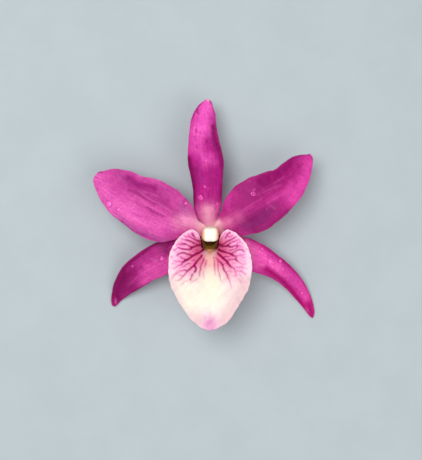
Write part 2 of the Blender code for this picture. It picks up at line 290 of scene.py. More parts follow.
def makeMottling():
    # Soft cloudy patches of lighter and darker colour.
    group, given, made = startGroup("mottling", {"Place": None, "Patches": 400.0}, ["Patch"])
    noise = addNode(group, "ShaderNodeTexNoise",
                    {"Vector": given["Place"], "Scale": given["Patches"], "Detail": 5.0, "Roughness": 0.6})
    group.links.new(stepBetween(group, noise.outputs["Fac"], 0.32, 0.68), made["Patch"])
    return group


tissueGrain = makeTissueGrain()
lengthStreaks = makeLengthStreaks()
mottling = makeMottling()


def placeGroup(tree, group, **values):
    return addNode(tree, "ShaderNodeGroup", values, node_tree=group).outputs


def placeGrain(tree, place, finish):
    return placeGroup(tree, tissueGrain, Place=place, Cells=finish["cells"], Glints=finish["glints"])


def startMaterial(name):
    material = bpy.data.materials.new(name)
    material.use_nodes = True
    tree = material.node_tree
    place = addNode(tree, "ShaderNodeTexCoord").outputs["Object"]
    return material, tree, tree.nodes["Principled BSDF"], place


livingSkin = {
    "cellHeight": 0.00004,  # metres of relief at full strength
    "glintSmoothness": 0.5,  # share of the roughness left where a cell glints
    "glowTint": (1.0, 0.45, 0.6),
    "glowDepth": 0.0006,
}


def finishSkin(tree, skin, paintwork, grain, finish):
    # Joins colour, roughness and cell relief to the shader; what is even all over stays on its sockets.
    tree.links.new(paintwork, skin.inputs["Base Color"])
    smoothest = finish["rough"] * livingSkin["glintSmoothness"]
    rough = addNode(tree, "ShaderNodeMapRange",
                    {"Value": grain["Glint"], "To Min": finish["rough"], "To Max": smoothest})
    tree.links.new(rough.outputs[0], skin.inputs["Roughness"])
    relief = {"Height": grain["Height"], "Strength": finish["bump"], "Distance": livingSkin["cellHeight"]}
    bump = addNode(tree, "ShaderNodeBump", relief)
    tree.links.new(bump.outputs["Normal"], skin.inputs["Normal"])
    skin.inputs["Specular IOR Level"].default_value = finish["shine"]
    skin.inputs["Subsurface Weight"].default_value = finish["glow"]
    skin.inputs["Subsurface Radius"].default_value = livingSkin["glowTint"]
    skin.inputs["Subsurface Scale"].default_value = livingSkin["glowDepth"]


# Sepals and petals

dorsalSepal = {
    "node": "dorsal_sepal",
    "slot": "sepal",
    # Along the midrib: x, y, z, half width left and right, rise of the left and right margin.
    "stations": [
        (0.05, -1.0, -3.1, 1.6, 1.6, -0.2, -0.2),
        (0.0, 0.3, -2.4, 2.7, 2.7, -0.3, -0.3),
        (-0.6, 2.6, -1.5, 3.4, 3.3, -0.5, -0.5),
        (-0.75, 6.0, -0.2, 3.95, 3.95, -1.0, -0.9),
        (-0.7, 11.0, 1.3, 4.25, 4.25, -1.7, -1.3),
        (-1.06, 16.7, 2.1, 5.0, 5.0, -2.0, -1.9),
        (-1.5, 21.5, 1.8, 4.65, 4.6, -1.3, -2.0),
        (-1.83, 26.5, 0.6, 3.85, 3.85, -0.8, -1.3),
        (-1.7, 29.8, -0.7, 3.35, 3.45, -0.6, -0.8),
        (-1.3, 32.4, -1.9, 2.3, 2.7, -0.4, -0.5),
        (-0.75, 34.2, -2.9, 1.1, 1.5, -0.2, -0.2),
        (-0.55, 35.15, -3.3, 0.3, 0.3, 0.0, 0.0),
    ],
    "roll": 2.4,
    "wave": (0.12, 3.0, 0.4),
    "veins": 9,
    "folds": [
        (-0.35, 1.0, [(2.2, 22.5), (2.9, 18.0), (2.6, 12.0)]),
        (0.25, 1.2, [(-1.9, 29.0), (-2.2, 23.0), (-1.4, 15.0)]),
    ],
    "colours": {
        "body": (184, 28, 132), "bright": (246, 96, 194), "deep": (120, 0, 78), "violet": (150, 34, 118),
        "pale": (234, 154, 186), "thread": (238, 100, 188),
    },
    # Strength, width and line of each brush stroke, as the camera sees it. Bright and deep strokes are
    # partly the tepal's own colour and partly painted light and painted shade where the blade turns towards
    # or away from the light; violet strokes are partly painted shade, thread strokes painted highlights
    # along low ridges and at tips, and white strokes painted light and highlights.
    # The first bright stroke is painted light on the upper third, which bends back towards the light.
    "bright": [
        (0.98, 2.6, [(-0.9, 33.2), (-1.5, 31.0), (-2.0, 28.2), (-2.5, 26.6)]),
        (0.4, 1.4, [(-4.2, 26.0), (-4.6, 22.5), (-4.7, 21.2)]),
        (0.45, 1.5, [(-3.2, 22.8), (-2.6, 20.2), (-1.2, 17.6)]),
        (0.35, 1.0, [(0.4, 19.0), (1.2, 17.2)]),
        (0.35, 0.9, [(-0.2, 28.5), (0.2, 24.8)]),
    ],
    "deep": [
        # Painted shade down the right side, where the margin rolls back away from the light.
        (0.75, 0.85, [
            (0.9, 27.0), (1.1, 24.3), (1.9, 22.2), (2.8, 20.2), (3.4, 17.5), (3.5, 14.0), (3.2, 10.5),
            (2.8, 7.2),
        ]),
        (0.2, 1.0, [(0.7, 29.0), (0.9, 27.4), (0.6, 24.4)]),
        # Painted shade along the left margin, which rolls back away from the light.
        (0.95, 0.7, [(-5.8, 18.5), (-5.2, 15.5), (-4.8, 12.5), (-4.5, 9.0), (-4.3, 6.0)]),
        (0.4, 1.3, [(-4.4, 15.5), (-3.9, 10.0)]),
        (0.3, 1.6, [(0.4, 16.4), (0.5, 12.0), (0.4, 9.0)]),
        (0.5, 0.25, [(-1.5, 34.5), (-3.0, 32.9), (-4.2, 31.1), (-4.8, 29.4)]),
        (0.8, 0.4, [(0.1, 34.6), (1.2, 32.5), (1.9, 30.0), (2.3, 27.2), (3.0, 23.0), (3.8, 18.4)]),
        (0.8, 0.2, [(-3.7, 32.2), (-3.3, 31.6), (-3.6, 31.2), (-3.1, 30.6)]),
        (0.75, 0.22, [(-3.9, 26.3), (-3.6, 25.7)]),
        (0.65, 0.22, [(-2.8, 25.7), (-2.5, 25.3)]),
        (0.65, 0.24, [(0.7, 27.6), (0.8, 26.9)]),
        (0.6, 0.22, [(-1.3, 23.9), (-0.8, 23.5), (-1.1, 22.9), (-0.5, 22.6)]),
        (0.55, 0.22, [(-3.7, 21.7), (-3.3, 21.2)]),
        (0.5, 0.2, [(-2.0, 21.2), (-1.6, 20.6)]),
        (0.5, 0.2, [(-4.3, 24.2), (-4.1, 23.6)]),
    ],
    "violet": [(0.5, 1.2, [(-3.4, 15.2), (-2.8, 12.2)]), (0.4, 0.9, [(0.0, 23.4), (0.6, 21.4)])],
    "pale": [
        (0.95, 1.4, [(-0.2, -1.0), (-0.4, 2.0), (-0.6, 4.3)]),
        (0.5, 2.6, [(-0.2, -1.0), (-0.6, 3.8)]),
    ],
    "thread": [
        (0.28, 0.31, [(-2.0, 18.4), (-1.0, 17.9), (-0.2, 17.6)]),
        (0.25, 0.38, [(-1.6, 10.9), (-0.4, 10.2)]),
        (0.31, 0.25, [(2.2, 25.5), (3.2, 22.2), (4.0, 18.0)]),
    ],
    # Painted highlight at the tip, and painted light on the pale base beside the cap.
    "paintedLight": [
        (0.7, 0.3, [(-0.7, 34.8), (-0.5, 34.2)]),
        (0.6, 0.7, [(0.9, 0.3), (1.6, 0.8)]),
        (0.6, 0.6, [(-0.8, 0.1), (0.4, -0.2)]),
    ],
}

petalLeft = {
    "node": "petal_left",
    "slot": "petal",
    "stations": [
        (-0.5, -0.9, -1.7, 1.6, 0.5, 0.0, 0.0),
        (-1.9, -0.5, -0.7, 2.3, 1.15, -0.2, -0.4),
        (-4.0, -0.2, 0.2, 3.2, 2.45, 0.0, -0.9),
        (-6.8, 0.8, 1.1, 4.5, 5.4, 0.3, -1.0),
        (-11.3, 2.4, 1.8, 7.2, 7.7, 0.6, -0.8),
        (-14.6, 3.95, 1.9, 7.85, 8.0, 0.8, -0.5),
        (-18.2, 5.6, 1.6, 7.4, 8.0, 0.7, 0.1),
        (-21.6, 7.5, 1.0, 6.7, 7.0, 0.5, 0.4),
        (-24.9, 9.9, 0.2, 6.1, 6.0, 0.2, 0.5),
        (-27.9, 11.8, -0.9, 4.9, 4.4, -0.1, 0.2),
        (-30.2, 13.0, -1.9, 3.1, 2.5, -0.1, 0.0),
        (-31.4, 13.6, -2.5, 1.6, 1.5, 0.0, 0.0),
        (-31.75, 13.8, -2.7, 0.55, 0.55, 0.0, 0.0),
    ],
    "roll": 2.0,
    "wave": (0.25, 3.5, 1.2),
    "veins": 13,
    "folds": [
        (-0.4, 1.3, [(-24.5, 13.0), (-20.3, 11.5), (-16.1, 10.2)]),
        (0.18, 0.5, [(-16.9, 5.6), (-12.1, 2.9), (-7.3, 0.4)]),
        (-0.15, 0.6, [(-19.4, 8.0), (-11.7, 4.4), (-9.0, 2.5)]),
    ],
    "colours": {
        "body": (202, 66, 152), "bright": (230, 98, 182), "deep": (144, 2, 106), "violet": (174, 70, 142),
        "pale": (246, 156, 198), "thread": (240, 116, 190),
    },
    "bright": [
        (0.8, 2.8, [(-31.2, 13.6), (-28.6, 9.0), (-25.5, 6.0), (-22.8, 4.4)]),
        (0.6, 2.6, [(-22.4, 3.9), (-18.4, 1.6), (-14.5, -0.2)]),
        (0.15, 2.0, [(-15.0, -2.2), (-10.5, -2.8)]),
        (0.3, 1.5, [(-9.0, -0.8), (-11.5, 0.4)]),
    ],
    "deep": [
        (0.8, 0.9, [(-22.4, 13.2), (-20.8, 12.0), (-19.4, 11.1), (-17.0, 10.8), (-15.0, 10.3)]),
        (0.4, 2.0, [(-22.0, 12.0), (-18.0, 10.0), (-14.0, 8.6)]),
        (0.55, 0.5, [(-22.2, 9.9), (-19.4, 8.8), (-16.8, 6.9), (-15.2, 5.9)]),
        (0.55, 0.45, [(-17.2, 5.1), (-15.4, 3.7), (-12.6, 2.6)]),
        (0.45, 1.1, [(-12.8, 6.2), (-10.5, 4.4), (-8.8, 2.5)]),
        (0.4, 1.1, [(-19.4, 9.4), (-15.8, 8.2), (-12.0, 6.8)]),
        (0.3, 0.35, [(-18.2, 8.0), (-15.5, 6.9), (-12.8, 5.3)]),
        (0.5, 0.35, [(-24.5, 1.4), (-20.8, -1.4), (-14.2, -4.1)]),
        (0.7, 0.3, [(-31.9, 14.3), (-31.0, 14.6), (-29.6, 14.7)]),
        (0.5, 0.2, [(-31.2, 13.4), (-30.6, 13.0)]),
    ],
    "violet": [
        (0.6, 1.1, [(-25.2, 15.2), (-24.3, 13.4), (-22.4, 12.4)]),
        (0.85, 1.6, [(-7.4, 5.4), (-5.8, 3.6)]),
        (0.9, 1.0, [(-25.4, 2.4), (-20.6, -1.0), (-14.4, -3.6), (-10.4, -4.4)]),
        (0.3, 1.6, [(-15.0, 11.5), (-9.5, 8.6)]),
    ],
    "pale": [
        (0.85, 1.3, [(-0.5, -0.4), (-4.0, 0.9), (-6.6, 1.4)]),
        (0.5, 2.4, [(-1.5, -0.2), (-5.5, 1.2), (-8.2, 1.1)]),
    ],
    # Thread strokes are painted highlights along low ridges of the blade.
    "thread": [
        (0.22, 0.3, [(-18.0, 9.3), (-16.2, 8.9), (-14.2, 8.1)]),
        (0.3, 0.28, [(-19.6, 9.6), (-16.8, 7.4), (-13.4, 5.7), (-10.6, 3.9)]),
        (0.35, 0.28, [(-18.6, 6.8), (-16.4, 5.4), (-14.2, 4.3), (-11.9, 2.9), (-9.8, 1.6)]),
        (0.28, 0.25, [(-20.6, 8.0), (-18.4, 6.7)]),
        (0.25, 0.25, [(-23.0, 8.2), (-20.4, 6.6)]),
        (0.37, 0.28, [(-19.6, 13.8), (-16.6, 13.4), (-13.8, 12.5)]),
        (0.31, 0.28, [(-24.2, 15.9), (-22.6, 15.1)]),
        (0.37, 0.25, [(-30.8, 9.3), (-29.2, 6.5), (-27.2, 4.2), (-24.4, 1.7)]),
    ],
    # Painted light on the base beside the column and under the lip's edge, lifting their shade.
    "paintedLight": [
        (0.8, 0.8, [(-1.3, -0.6), (-2.1, 0.2), (-2.9, 1.2)]),
        (0.45, 0.9, [(-2.8, -0.2), (-3.1, -2.0)]),
    ],
}

petalRight = {
    "node": "petal_right",
    "slot": "petal",
    "stations": [
        (0.6, -0.8, -1.7, 0.5, 1.6, 0.0, 0.0),
        (1.8, -0.4, -0.7, 1.3, 2.3, -0.4, -0.2),
        (3.7, 0.3, 0.2, 3.2, 3.3, -0.9, 0.0),
        (6.1, 1.4, 1.0, 5.2, 4.9, -1.0, 0.2),
        (10.2, 4.3, 1.9, 7.2, 7.1, -0.8, 0.5),
        (13.0, 6.2, 2.1, 7.25, 7.25, -0.7, 0.6),
        (17.0, 8.6, 1.8, 6.6, 6.6, -0.3, 0.6),
        (20.6, 11.0, 1.2, 5.5, 5.3, 0.1, 0.4),
        (23.4, 14.1, 0.3, 4.7, 4.2, 0.4, 0.2),
        (25.5, 16.8, -0.7, 3.5, 3.0, 0.3, 0.0),
        (27.0, 18.8, -1.5, 1.5, 1.5, 0.1, 0.0),
        (27.5, 19.8, -1.9, 0.3, 0.3, 0.0, 0.0),
    ],
    "roll": 2.0,
    "wave": (0.3, 3.0, 0.2),
    "veins": 13,
    "folds": [
        (-0.4, 1.3, [(14.3, 12.3), (17.3, 13.4), (21.2, 16.0)]),
        (0.2, 0.7, [(18.9, 10.7), (14.3, 7.6), (10.4, 4.8)]),
        (-0.3, 1.4, [(16.3, 5.2), (13.4, 1.5), (10.4, 0.5)]),
    ],
    "colours": {
        "body": (174, 32, 122), "bright": (220, 68, 164), "deep": (140, 0, 94), "violet": (118, 14, 92),
        "pale": (230, 122, 170), "thread": (216, 84, 166),
    },
    "bright": [
        (0.9, 2.2, [(27.6, 17.8), (26.6, 14.2), (24.6, 10.6), (22.6, 7.6)]),
        (0.5, 0.8, [(15.9, 6.4), (20.6, 9.4), (22.4, 11.4)]),
        (0.35, 1.4, [(5.4, 8.6), (4.4, 5.4)]),
        (0.3, 1.2, [(23.0, 17.6), (25.0, 18.8)]),
    ],
    "deep": [
        (0.92, 1.7, [(14.4, 12.7), (18.0, 14.2), (20.2, 15.6), (21.8, 17.0)]),
        (0.35, 1.6, [(8.8, 5.6), (13.5, 8.8), (18.8, 12.6)]),
        (0.6, 0.6, [(16.2, -1.4), (13.2, -2.6), (10.4, -3.2)]),
        (0.5, 0.3, [(24.0, 16.0), (25.2, 16.9)]),
        (0.45, 0.3, [(21.0, 12.8), (22.4, 13.7)]),
        (0.9, 1.35, [(21.3, 3.6), (18.2, 0.7), (15.5, -1.1), (12.4, -1.9)]),
        (0.9, 0.4, [(27.6, 19.9), (26.4, 19.9), (24.6, 19.5)]),
        (0.5, 0.2, [(27.7, 19.0), (28.1, 17.4)]),
    ],
    "violet": [
        (0.5, 2.2, [(15.2, 12.2), (13.2, 11.2)]),
        (0.6, 1.8, [(17.4, 5.0), (15.1, 4.0), (12.3, 2.1), (9.2, 0.4)]),
        (0.65, 2.3, [(15.2, 1.8), (11.6, -0.2)]),
        (0.5, 1.0, [(20.6, 18.0), (23.6, 18.9)]),
        (0.3, 2.0, [(10.0, 9.0), (8.4, 11.0)]),
    ],
    "pale": [
        (0.75, 1.1, [(1.1, -0.2), (3.4, 0.7), (5.0, 1.1)]),
        (0.3, 1.7, [(1.5, 0.0), (5.5, 1.3), (7.8, 2.5)]),
    ],
    "thread": [
        (0.22, 0.35, [(13.1, 8.6), (16.0, 9.9), (19.4, 11.2)]),
        (0.25, 0.25, [(17.6, 11.6), (20.2, 13.4)]),
        (0.31, 0.25, [(8.8, 4.3), (11.6, 6.0), (14.3, 7.5)]),
        (0.25, 0.25, [(7.4, 2.5), (9.6, 4.0), (11.6, 5.3)]),
        (0.25, 0.38, [(16.4, 5.6), (17.8, 4.6)]),
        (0.28, 0.31, [(10.2, 13.9), (14.4, 14.7), (17.2, 15.8)]),
    ],
    # Painted light on the base beside the column and under the lip's edge, lifting their shade.
    "paintedLight": [
        (0.8, 0.75, [(0.9, -0.4), (1.6, 0.3), (2.2, 1.1)]),
        (0.45, 0.9, [(2.8, -0.2), (3.1, -2.0)]),
    ],
}

lateralSepalLeft = {
    "node": "lateral_sepal_left",
    "slot": "sepal",
    "stations": [
        (-0.2, -4.0, -5.6, 2.3, 2.3, 0.0, 0.0),
        (-1.7, -4.0, -5.5, 2.6, 2.4, 0.0, 0.1),
        (-3.5, -4.9, -4.7, 3.0, 2.9, -0.1, 0.3),
        (-5.7, -5.9, -3.5, 3.5, 3.3, -0.1, 0.2),
        (-9.2, -7.4, -2.0, 4.1, 4.4, -0.3, -0.2),
        (-13.1, -9.1, -1.2, 4.35, 4.9, -0.6, -0.6),
        (-17.2, -11.2, -2.2, 4.2, 4.7, -0.8, -1.0),
        (-21.3, -14.2, -4.6, 3.8, 4.35, -0.8, -1.2),
        (-24.3, -17.2, -7.3, 2.9, 3.2, -0.6, -0.9),
        (-26.2, -19.9, -9.7, 1.8, 1.8, -0.2, -0.2),
        (-26.9, -21.8, -10.2, 0.95, 0.95, 0.0, 0.0),
        (-26.95, -22.7, -10.25, 0.4, 0.4, 0.0, 0.0),
    ],
    "roll": 2.2,
    "wave": (0.15, 3.0, 0.9),
    "veins": 9,
    "folds": [(0.25, 1.0, [(-21.5, -15.0), (-15.0, -11.0), (-9.0, -8.5)])],
    "colours": {
        "body": (184, 42, 136), "bright": (230, 86, 172), "deep": (124, 0, 78), "violet": (146, 40, 106),
        "pale": (224, 110, 166), "thread": (234, 116, 190),
    },
    "bright": [
        (0.65, 1.7, [(-18.4, -12.3), (-16.1, -11.5), (-12.6, -10.2), (-10.5, -9.0)]),
        (0.6, 1.6, [(-16.8, -14.8), (-14.4, -13.3), (-12.2, -11.9)]),
        (0.4, 1.0, [(-19.4, -16.0), (-17.2, -15.2)]),
    ],
    "deep": [
        (0.9, 0.6, [(-14.1, -4.2), (-16.7, -6.0), (-19.5, -8.1), (-21.8, -9.9), (-23.8, -11.8)]),
        # Painted shade at the base, where the column and lip shade it.
        (0.95, 1.3, [(-2.1, -3.2), (-2.1, -6.8)]),
        (0.6, 1.6, [(-23.4, -17.8), (-20.4, -16.6)]),
        (0.8, 0.35, [
            (-23.5, -11.9), (-25.0, -13.9), (-26.0, -15.8), (-26.5, -17.7), (-26.6, -19.7), (-26.2, -21.4),
        ]),
        (0.9, 1.6, [(-23.4, -13.0), (-25.0, -16.0), (-25.6, -18.3), (-25.3, -19.9)]),
        (0.6, 1.6, [(-20.8, -11.8), (-23.2, -15.6)]),
        (0.4, 0.5, [(-18.9, -11.2), (-18.4, -11.8)]),
        (0.4, 0.6, [(-20.8, -13.4), (-20.2, -12.6)]),
        (0.6, 0.3, [(-24.6, -20.6), (-21.2, -18.0), (-17.6, -16.1), (-15.4, -15.0)]),
    ],
    "violet": [
        # The first violet stroke is painted shade where the petal overlaps the sepal.
        (0.8, 1.3, [(-14.2, -4.8), (-12.2, -5.8), (-11.2, -7.2)]),
        (0.4, 1.0, [(-19.6, -9.4), (-16.2, -7.2)]),
    ],
    "pale": [(0.4, 1.2, [(-4.4, -5.6), (-6.2, -6.6)])],
    "thread": [
        (0.15, 0.35, [(-20.0, -14.1), (-21.1, -15.1), (-22.5, -16.4)]),
        # The second thread stroke is a painted highlight at the tip.
        (0.6, 0.22, [(-25.7, -19.8), (-25.8, -20.8)]),
        (0.25, 0.38, [(-16.0, -9.0), (-14.6, -9.6)]),
    ],
    "paintedLight": [],
}

lateralSepalRight = {
    "node": "lateral_sepal_right",
    "slot": "sepal",
    "stations": [
        (0.2, -4.0, -5.6, 2.3, 2.3, 0.0, 0.0),
        (1.7, -4.0, -5.5, 2.4, 2.6, 0.1, 0.0),
        (3.5, -4.9, -4.7, 2.9, 3.0, 0.3, -0.1),
        (5.7, -5.8, -3.5, 3.4, 3.5, 0.2, -0.1),
        (9.4, -7.1, -2.0, 4.1, 4.1, -0.2, -0.3),
        (13.0, -8.8, -1.3, 4.1, 4.1, -0.6, -0.6),
        (16.6, -10.6, -2.2, 3.5, 3.6, -1.0, -1.0),
        (20.0, -13.0, -4.2, 3.2, 2.95, -1.0, -1.5),
        (23.5, -16.6, -6.9, 3.0, 2.4, -0.8, -1.3),
        (26.3, -20.4, -9.2, 2.3, 1.9, -0.4, -0.6),
        (28.2, -23.8, -10.2, 1.3, 1.1, 0.0, 0.0),
        (28.9, -25.9, -10.25, 0.4, 0.4, 0.0, 0.0),
    ],
    "roll": 2.2,
    "wave": (0.15, 3.0, 0.0),
    "veins": 9,
    "folds": [(0.3, 0.9, [(10.2, -5.9), (16.0, -9.8), (22.0, -14.8)])],
    "colours": {
        "body": (204, 50, 148), "bright": (246, 96, 184), "deep": (168, 0, 102), "violet": (150, 36, 108),
        "pale": (255, 128, 196), "thread": (246, 120, 190),
    },
    "bright": [
        (0.95, 1.3, [(9.4, -4.4), (13.3, -7.4), (15.9, -9.6), (18.4, -11.6)]),
        (0.42, 1.5, [(18.0, -11.2), (20.8, -13.4), (23.8, -16.0), (26.2, -19.4)]),
        # Painted light beside the lip, lifting the lip's shadow.
        (0.95, 2.4, [(8.6, -6.2), (10.4, -7.8)]),
        (0.8, 1.7, [(11.6, -8.2), (13.0, -10.4)]),
    ],
    "deep": [
        (0.75, 0.6, [(11.5, -3.5), (15.0, -5.7), (18.9, -8.5), (21.6, -10.8)]),
        # Painted shade at the base, where the column and lip shade it.
        (0.95, 1.3, [(2.1, -3.2), (2.1, -6.8)]),
        (0.98, 0.85, [
            (15.5, -11.8), (17.7, -13.4), (19.8, -15.0), (22.3, -17.6), (25.0, -21.2), (26.6, -23.6),
        ]),
        (0.35, 1.2, [(14.0, -11.6), (17.0, -13.6)]),
        (0.95, 1.2, [(27.0, -21.4), (27.8, -24.4)]),
        (0.6, 0.4, [(21.6, -10.8), (25.0, -14.4), (27.2, -18.2), (28.2, -21.6)]),
    ],
    # Painted shade where the petal overlaps the sepal.
    "violet": [(0.7, 0.9, [(10.6, -3.2), (12.2, -4.1)])],
    # The first pale stroke is the pale base; the second is painted light beside the lip, lifting the lip's
    # shadow.
    "pale": [(0.4, 1.2, [(4.4, -5.6), (6.2, -6.6)]), (0.85, 1.7, [(8.8, -5.4), (10.4, -7.8)])],
    # The first thread stroke is a painted highlight at the tip.
    "thread": [(0.31, 0.38, [(26.2, -22.6), (26.7, -23.3)]), (0.25, 0.31, [(13.8, -10.4), (14.8, -10.8)])],
    "paintedLight": [],
}

# Water drops: x, y and radius of each, as the camera sees them, by the sepal or petal they lie on

drops = {
    "dorsal_sepal": [
        (-2.7, 7.9, 0.9), (1.9, 6.0, 0.4), (-1.5, 10.6, 0.4), (-1.0, 17.9, 0.3), (-3.5, 24.8, 0.28),
        (0.3, 22.0, 0.25),
    ],
    "petal_right": [
        (11.7, 8.8, 0.9), (12.1, 10.0, 0.5), (7.8, 10.9, 0.25), (7.4, 7.5, 0.22), (11.2, 12.1, 0.2),
        (6.2, 9.8, 0.2), (15.4, 4.6, 0.25), (22.7, 13.2, 0.2),
    ],
    "petal_left": [
        (-6.6, 6.2, 0.55), (-27.6, 5.9, 0.85), (-25.0, 4.6, 0.55), (-12.6, 9.6, 0.2), (-21.7, -0.3, 0.2),
    ],
    "lateral_sepal_left": [
        (-13.1, -8.9, 0.75), (-21.1, -10.9, 0.5), (-13.3, -11.2, 0.3), (-17.0, -10.6, 0.2),
    ],
    "lateral_sepal_right": [
        (14.3, -6.2, 0.45), (16.3, -9.6, 0.6), (19.2, -9.5, 0.6), (19.8, -12.0, 0.4), (25.0, -18.2, 0.45),
        (14.6, -10.6, 0.25),
    ],
}

tepalMake = {
    "rows": 184,
    "columns": 112,
    "rowCrowding": 0.35,
    "columnCrowding": 0.55,
    "half": 0.22,  # half of the blade's thickness
    "baseHalf": 0.14,  # more of it where the blade leaves the flower
    "tipRounding": 0.55,  # share of the last gap between stations that closes to a round tip
    "marginUnevenness": 0.012,
    "veinRelief": 0.035,
    "veinWander": 0.16,
    "midribWidth": 0.45,
    "keel": 0.22,
    "groove": 0.1,
    "bumps": 0.05,
    "fineBumps": 0.012,
    "raggedStrokes": 0.05,
    "rimWidth": 0.35,
    "uvWidth": 16.0,
}

# Tints of three numbers and a 1 multiply the paint or light it up, in the shader's own linear colour.
tepalPaint = {
    "finish": {"cells": 8000.0, "glints": 0.8, "rough": 0.5, "bump": 0.35, "shine": 0.11, "glow": 0.1},
    "streaksAcross": 46.0,
    "streaksAlong": 5.0,
    "clouds": 420.0,  # patches a metre
    "specks": 1600.0,
    "streakShade": 0.2,
    "middleStreakShade": 0.3,
    "cloudShade": 0.3,
    "speckShade": 0.42,
    "paleCalm": 0.65,
    "lightest": (1.2, 1.44, 1.17, 1.0),
    "darkest": (0.82, 0.5, 0.84, 1.0),
    "veinShare": 0.4,
    "veinTint": (1.12, 1.4, 1.12, 1.0),
    "lightLineBreaks": 1.25,
    # Colour of the painted light and highlights.
    "paintedLight": (255, 202, 206),
    # Painted shade round a drop's foot.
    "dropShadeShare": 0.75,
    "dropShadeTint": (0.66, 0.4, 0.66, 1.0),
    "rimShare": 0.07,
    "rimLight": (0.9, 0.4, 0.72, 1.0),
    "glintShare": 0.08,
    "glintLight": (0.9, 0.16, 0.6, 1.0),
    "behind": (196, 92, 156),
    "behindShare": 0.45,
    "backShare": 0.85,
}


def unevenSteps(count, crowding):
    # Places from 0 to 1 that lie closer together at both ends.
    even = np.linspace(0, 1, count + 1)
    return (1 - crowding) * even + crowding * (0.5 - 0.5 * np.cos(np.pi * even))


def bladeSurface(tepal, along, across):
    # along runs from base to tip, and across from -1 at the left margin to 1 at the right one.
    stations, step = tepal["stations"], 0.01
    x, y, z, left, right, riseLeft, riseRight = np.moveaxis(curveThrough(stations, along), -1, 0)
    ahead, behind = (curveThrough(stations, np.clip(along + s, 0, 1))[..., :2] for s in (step, -step))
    way = (ahead - behind) / np.linalg.norm(ahead - behind, axis=-1, keepdims=True)
    tipStart = 1 - tepalMake["tipRounding"] / (len(stations) - 1)
    tip = np.clip((along - tipStart) / (1 - tipStart), 0, 1)
    width = np.where(across < 0, left, right) * np.sqrt(1 - 0.9 * tip**2)
    uneven = softWaves(along * 30, across * 0.6, 2.2, tepal["veins"])
    width = width * (1 + tepalMake["marginUnevenness"] * uneven)
    rise = np.where(across < 0, riseLeft, riseRight)
    height, count, phase = tepal["wave"]
    fade = np.sin(np.pi * along) * np.abs(across) ** 3
    wave = height * fade * np.sin(2 * np.pi * count * along + phase + 1.5 * across)
    px = x + way[..., 1] * width * across
    py = y - way[..., 0] * width * across
    return np.stack([px, py, z + rise * np.abs(across) ** tepal["roll"] + wave], -1), width


def paintedDropLightAndShade(tepal, x, y):
    # Painted light where a drop gathers light onto the petal, on the side away from the light, and painted
    # shade round its foot.
    paintedDropLight, ring = np.zeros_like(x), np.zeros_like(x)
    for dropX, dropY, radius in drops[tepal["node"]]:
        reach = np.hypot(x - dropX, y - dropY) / radius
        glow = 0.5 + 0.5 * np.clip(((x - dropX) - (y - dropY)) / (1.4 * radius), -1, 1)
        paintedDropLight = np.maximum(paintedDropLight, smooth(reach, 0.85, 0.55) * (0.15 + 0.7 * glow))
        ring = np.maximum(ring, smooth(reach, 0.55, 0.9) * smooth(reach, 1.25, 1.0))
    return paintedDropLight, ring


def makeTepal(tepal, material):
    make = tepalMake
    along, across = np.meshgrid(
        unevenSteps(make["rows"], make["rowCrowding"]),
        2 * unevenSteps(make["columns"], make["columnCrowding"]) - 1,
        indexing="ij",
    )
    surface, width = bladeSurface(tepal, along, across)
    x, y = surface[..., 0], surface[..., 1]

    # Lengthwise veins, a midrib that is a groove in front and a keel behind, and the folds.
    wander = make["veinWander"] * softWaves(along * 20, across * 2, 9.0, 3 + tepal["veins"])
    lines = across * tepal["veins"] / 2 + wander
    fade = np.clip(np.sin(np.pi * np.clip(along, 0, 1)), 0, 1) ** 0.6 * smooth(np.abs(across), 0.98, 0.8)
    vein = (1 - np.abs(np.sin(np.pi * lines))) ** 2.2 * fade
    midrib = np.exp(-((across * width / make["midribWidth"]) ** 2))
    folds = sum(height * nearLine(x, y, line, w)[0] for height, w, line in tepal["folds"])
    bumps = make["bumps"] * softWaves(x, y, 2.6, 11) + make["fineBumps"] * softWaves(x, y, 0.7, 12)
    relief = make["veinRelief"] * vein - make["groove"] * midrib * (1 - along) + folds + bumps
    keel = make["veinRelief"] * vein + make["keel"] * midrib * (1 - 0.7 * along) - folds - bumps

    # The blade thins towards its margins, closes round them, and never dips below the floor.
    rounded = np.sqrt(1 - np.abs(across) ** 14) * np.sqrt(1 - np.clip(1 - along / 0.012, 0, 1) ** 2)
    rounded = rounded * np.sqrt(1 - np.clip((along - 0.99) / 0.01, 0, 1) ** 2)
    half = make["half"] * (1 - 0.3 * across**2) + make["baseHalf"] * np.exp(-along / 0.08)
    normal = surfaceNormals(surface)
    middle = surface - normal * make["half"]
    front = middle + normal * ((half + relief) * rounded)[..., None]
    back = middle - normal * ((half + keel) * rounded)[..., None]
    lowest = -flowerPlace[2]
    back[..., 2] = np.maximum(back[..., 2], lowest)
    front[..., 2] = np.maximum(front[..., 2], lowest)

    # Brush strokes follow the flower's plan, with slightly ragged edges.
    seenX, seenY = seenFromAbove(front)
    rx = seenX + make["raggedStrokes"] * softWaves(x, y, 1.4, 21)
    ry = seenY + make["raggedStrokes"] * softWaves(x, y, 1.4, 22)
    strokes = ("bright", "deep", "violet", "pale", "thread", "paintedLight")
    marks = {key: paint(rx, ry, tepal[key]) for key in strokes}
    marks["paintedDropLight"], marks["ring"] = paintedDropLightAndShade(tepal, seenX, seenY)
    marks["streaky"] = np.exp(-((across / 0.62) ** 2)) * smooth(along, 0.1, 0.3) * smooth(along, 0.97, 0.7)
    marks["vein"] = vein
    marks["rim"] = smooth(np.abs(across) * width, width - make["rimWidth"], width)
    uv = np.stack([(across * width) / make["uvWidth"] + 0.5, along], -1)
    piece = closedSheet(tepal["node"] + "_blade", front, back, marks, uv)
    tepal["front"], tepal["normal"] = front, surfaceNormals(front)
    dress(piece, material, tepal["slot"], tepal["node"])


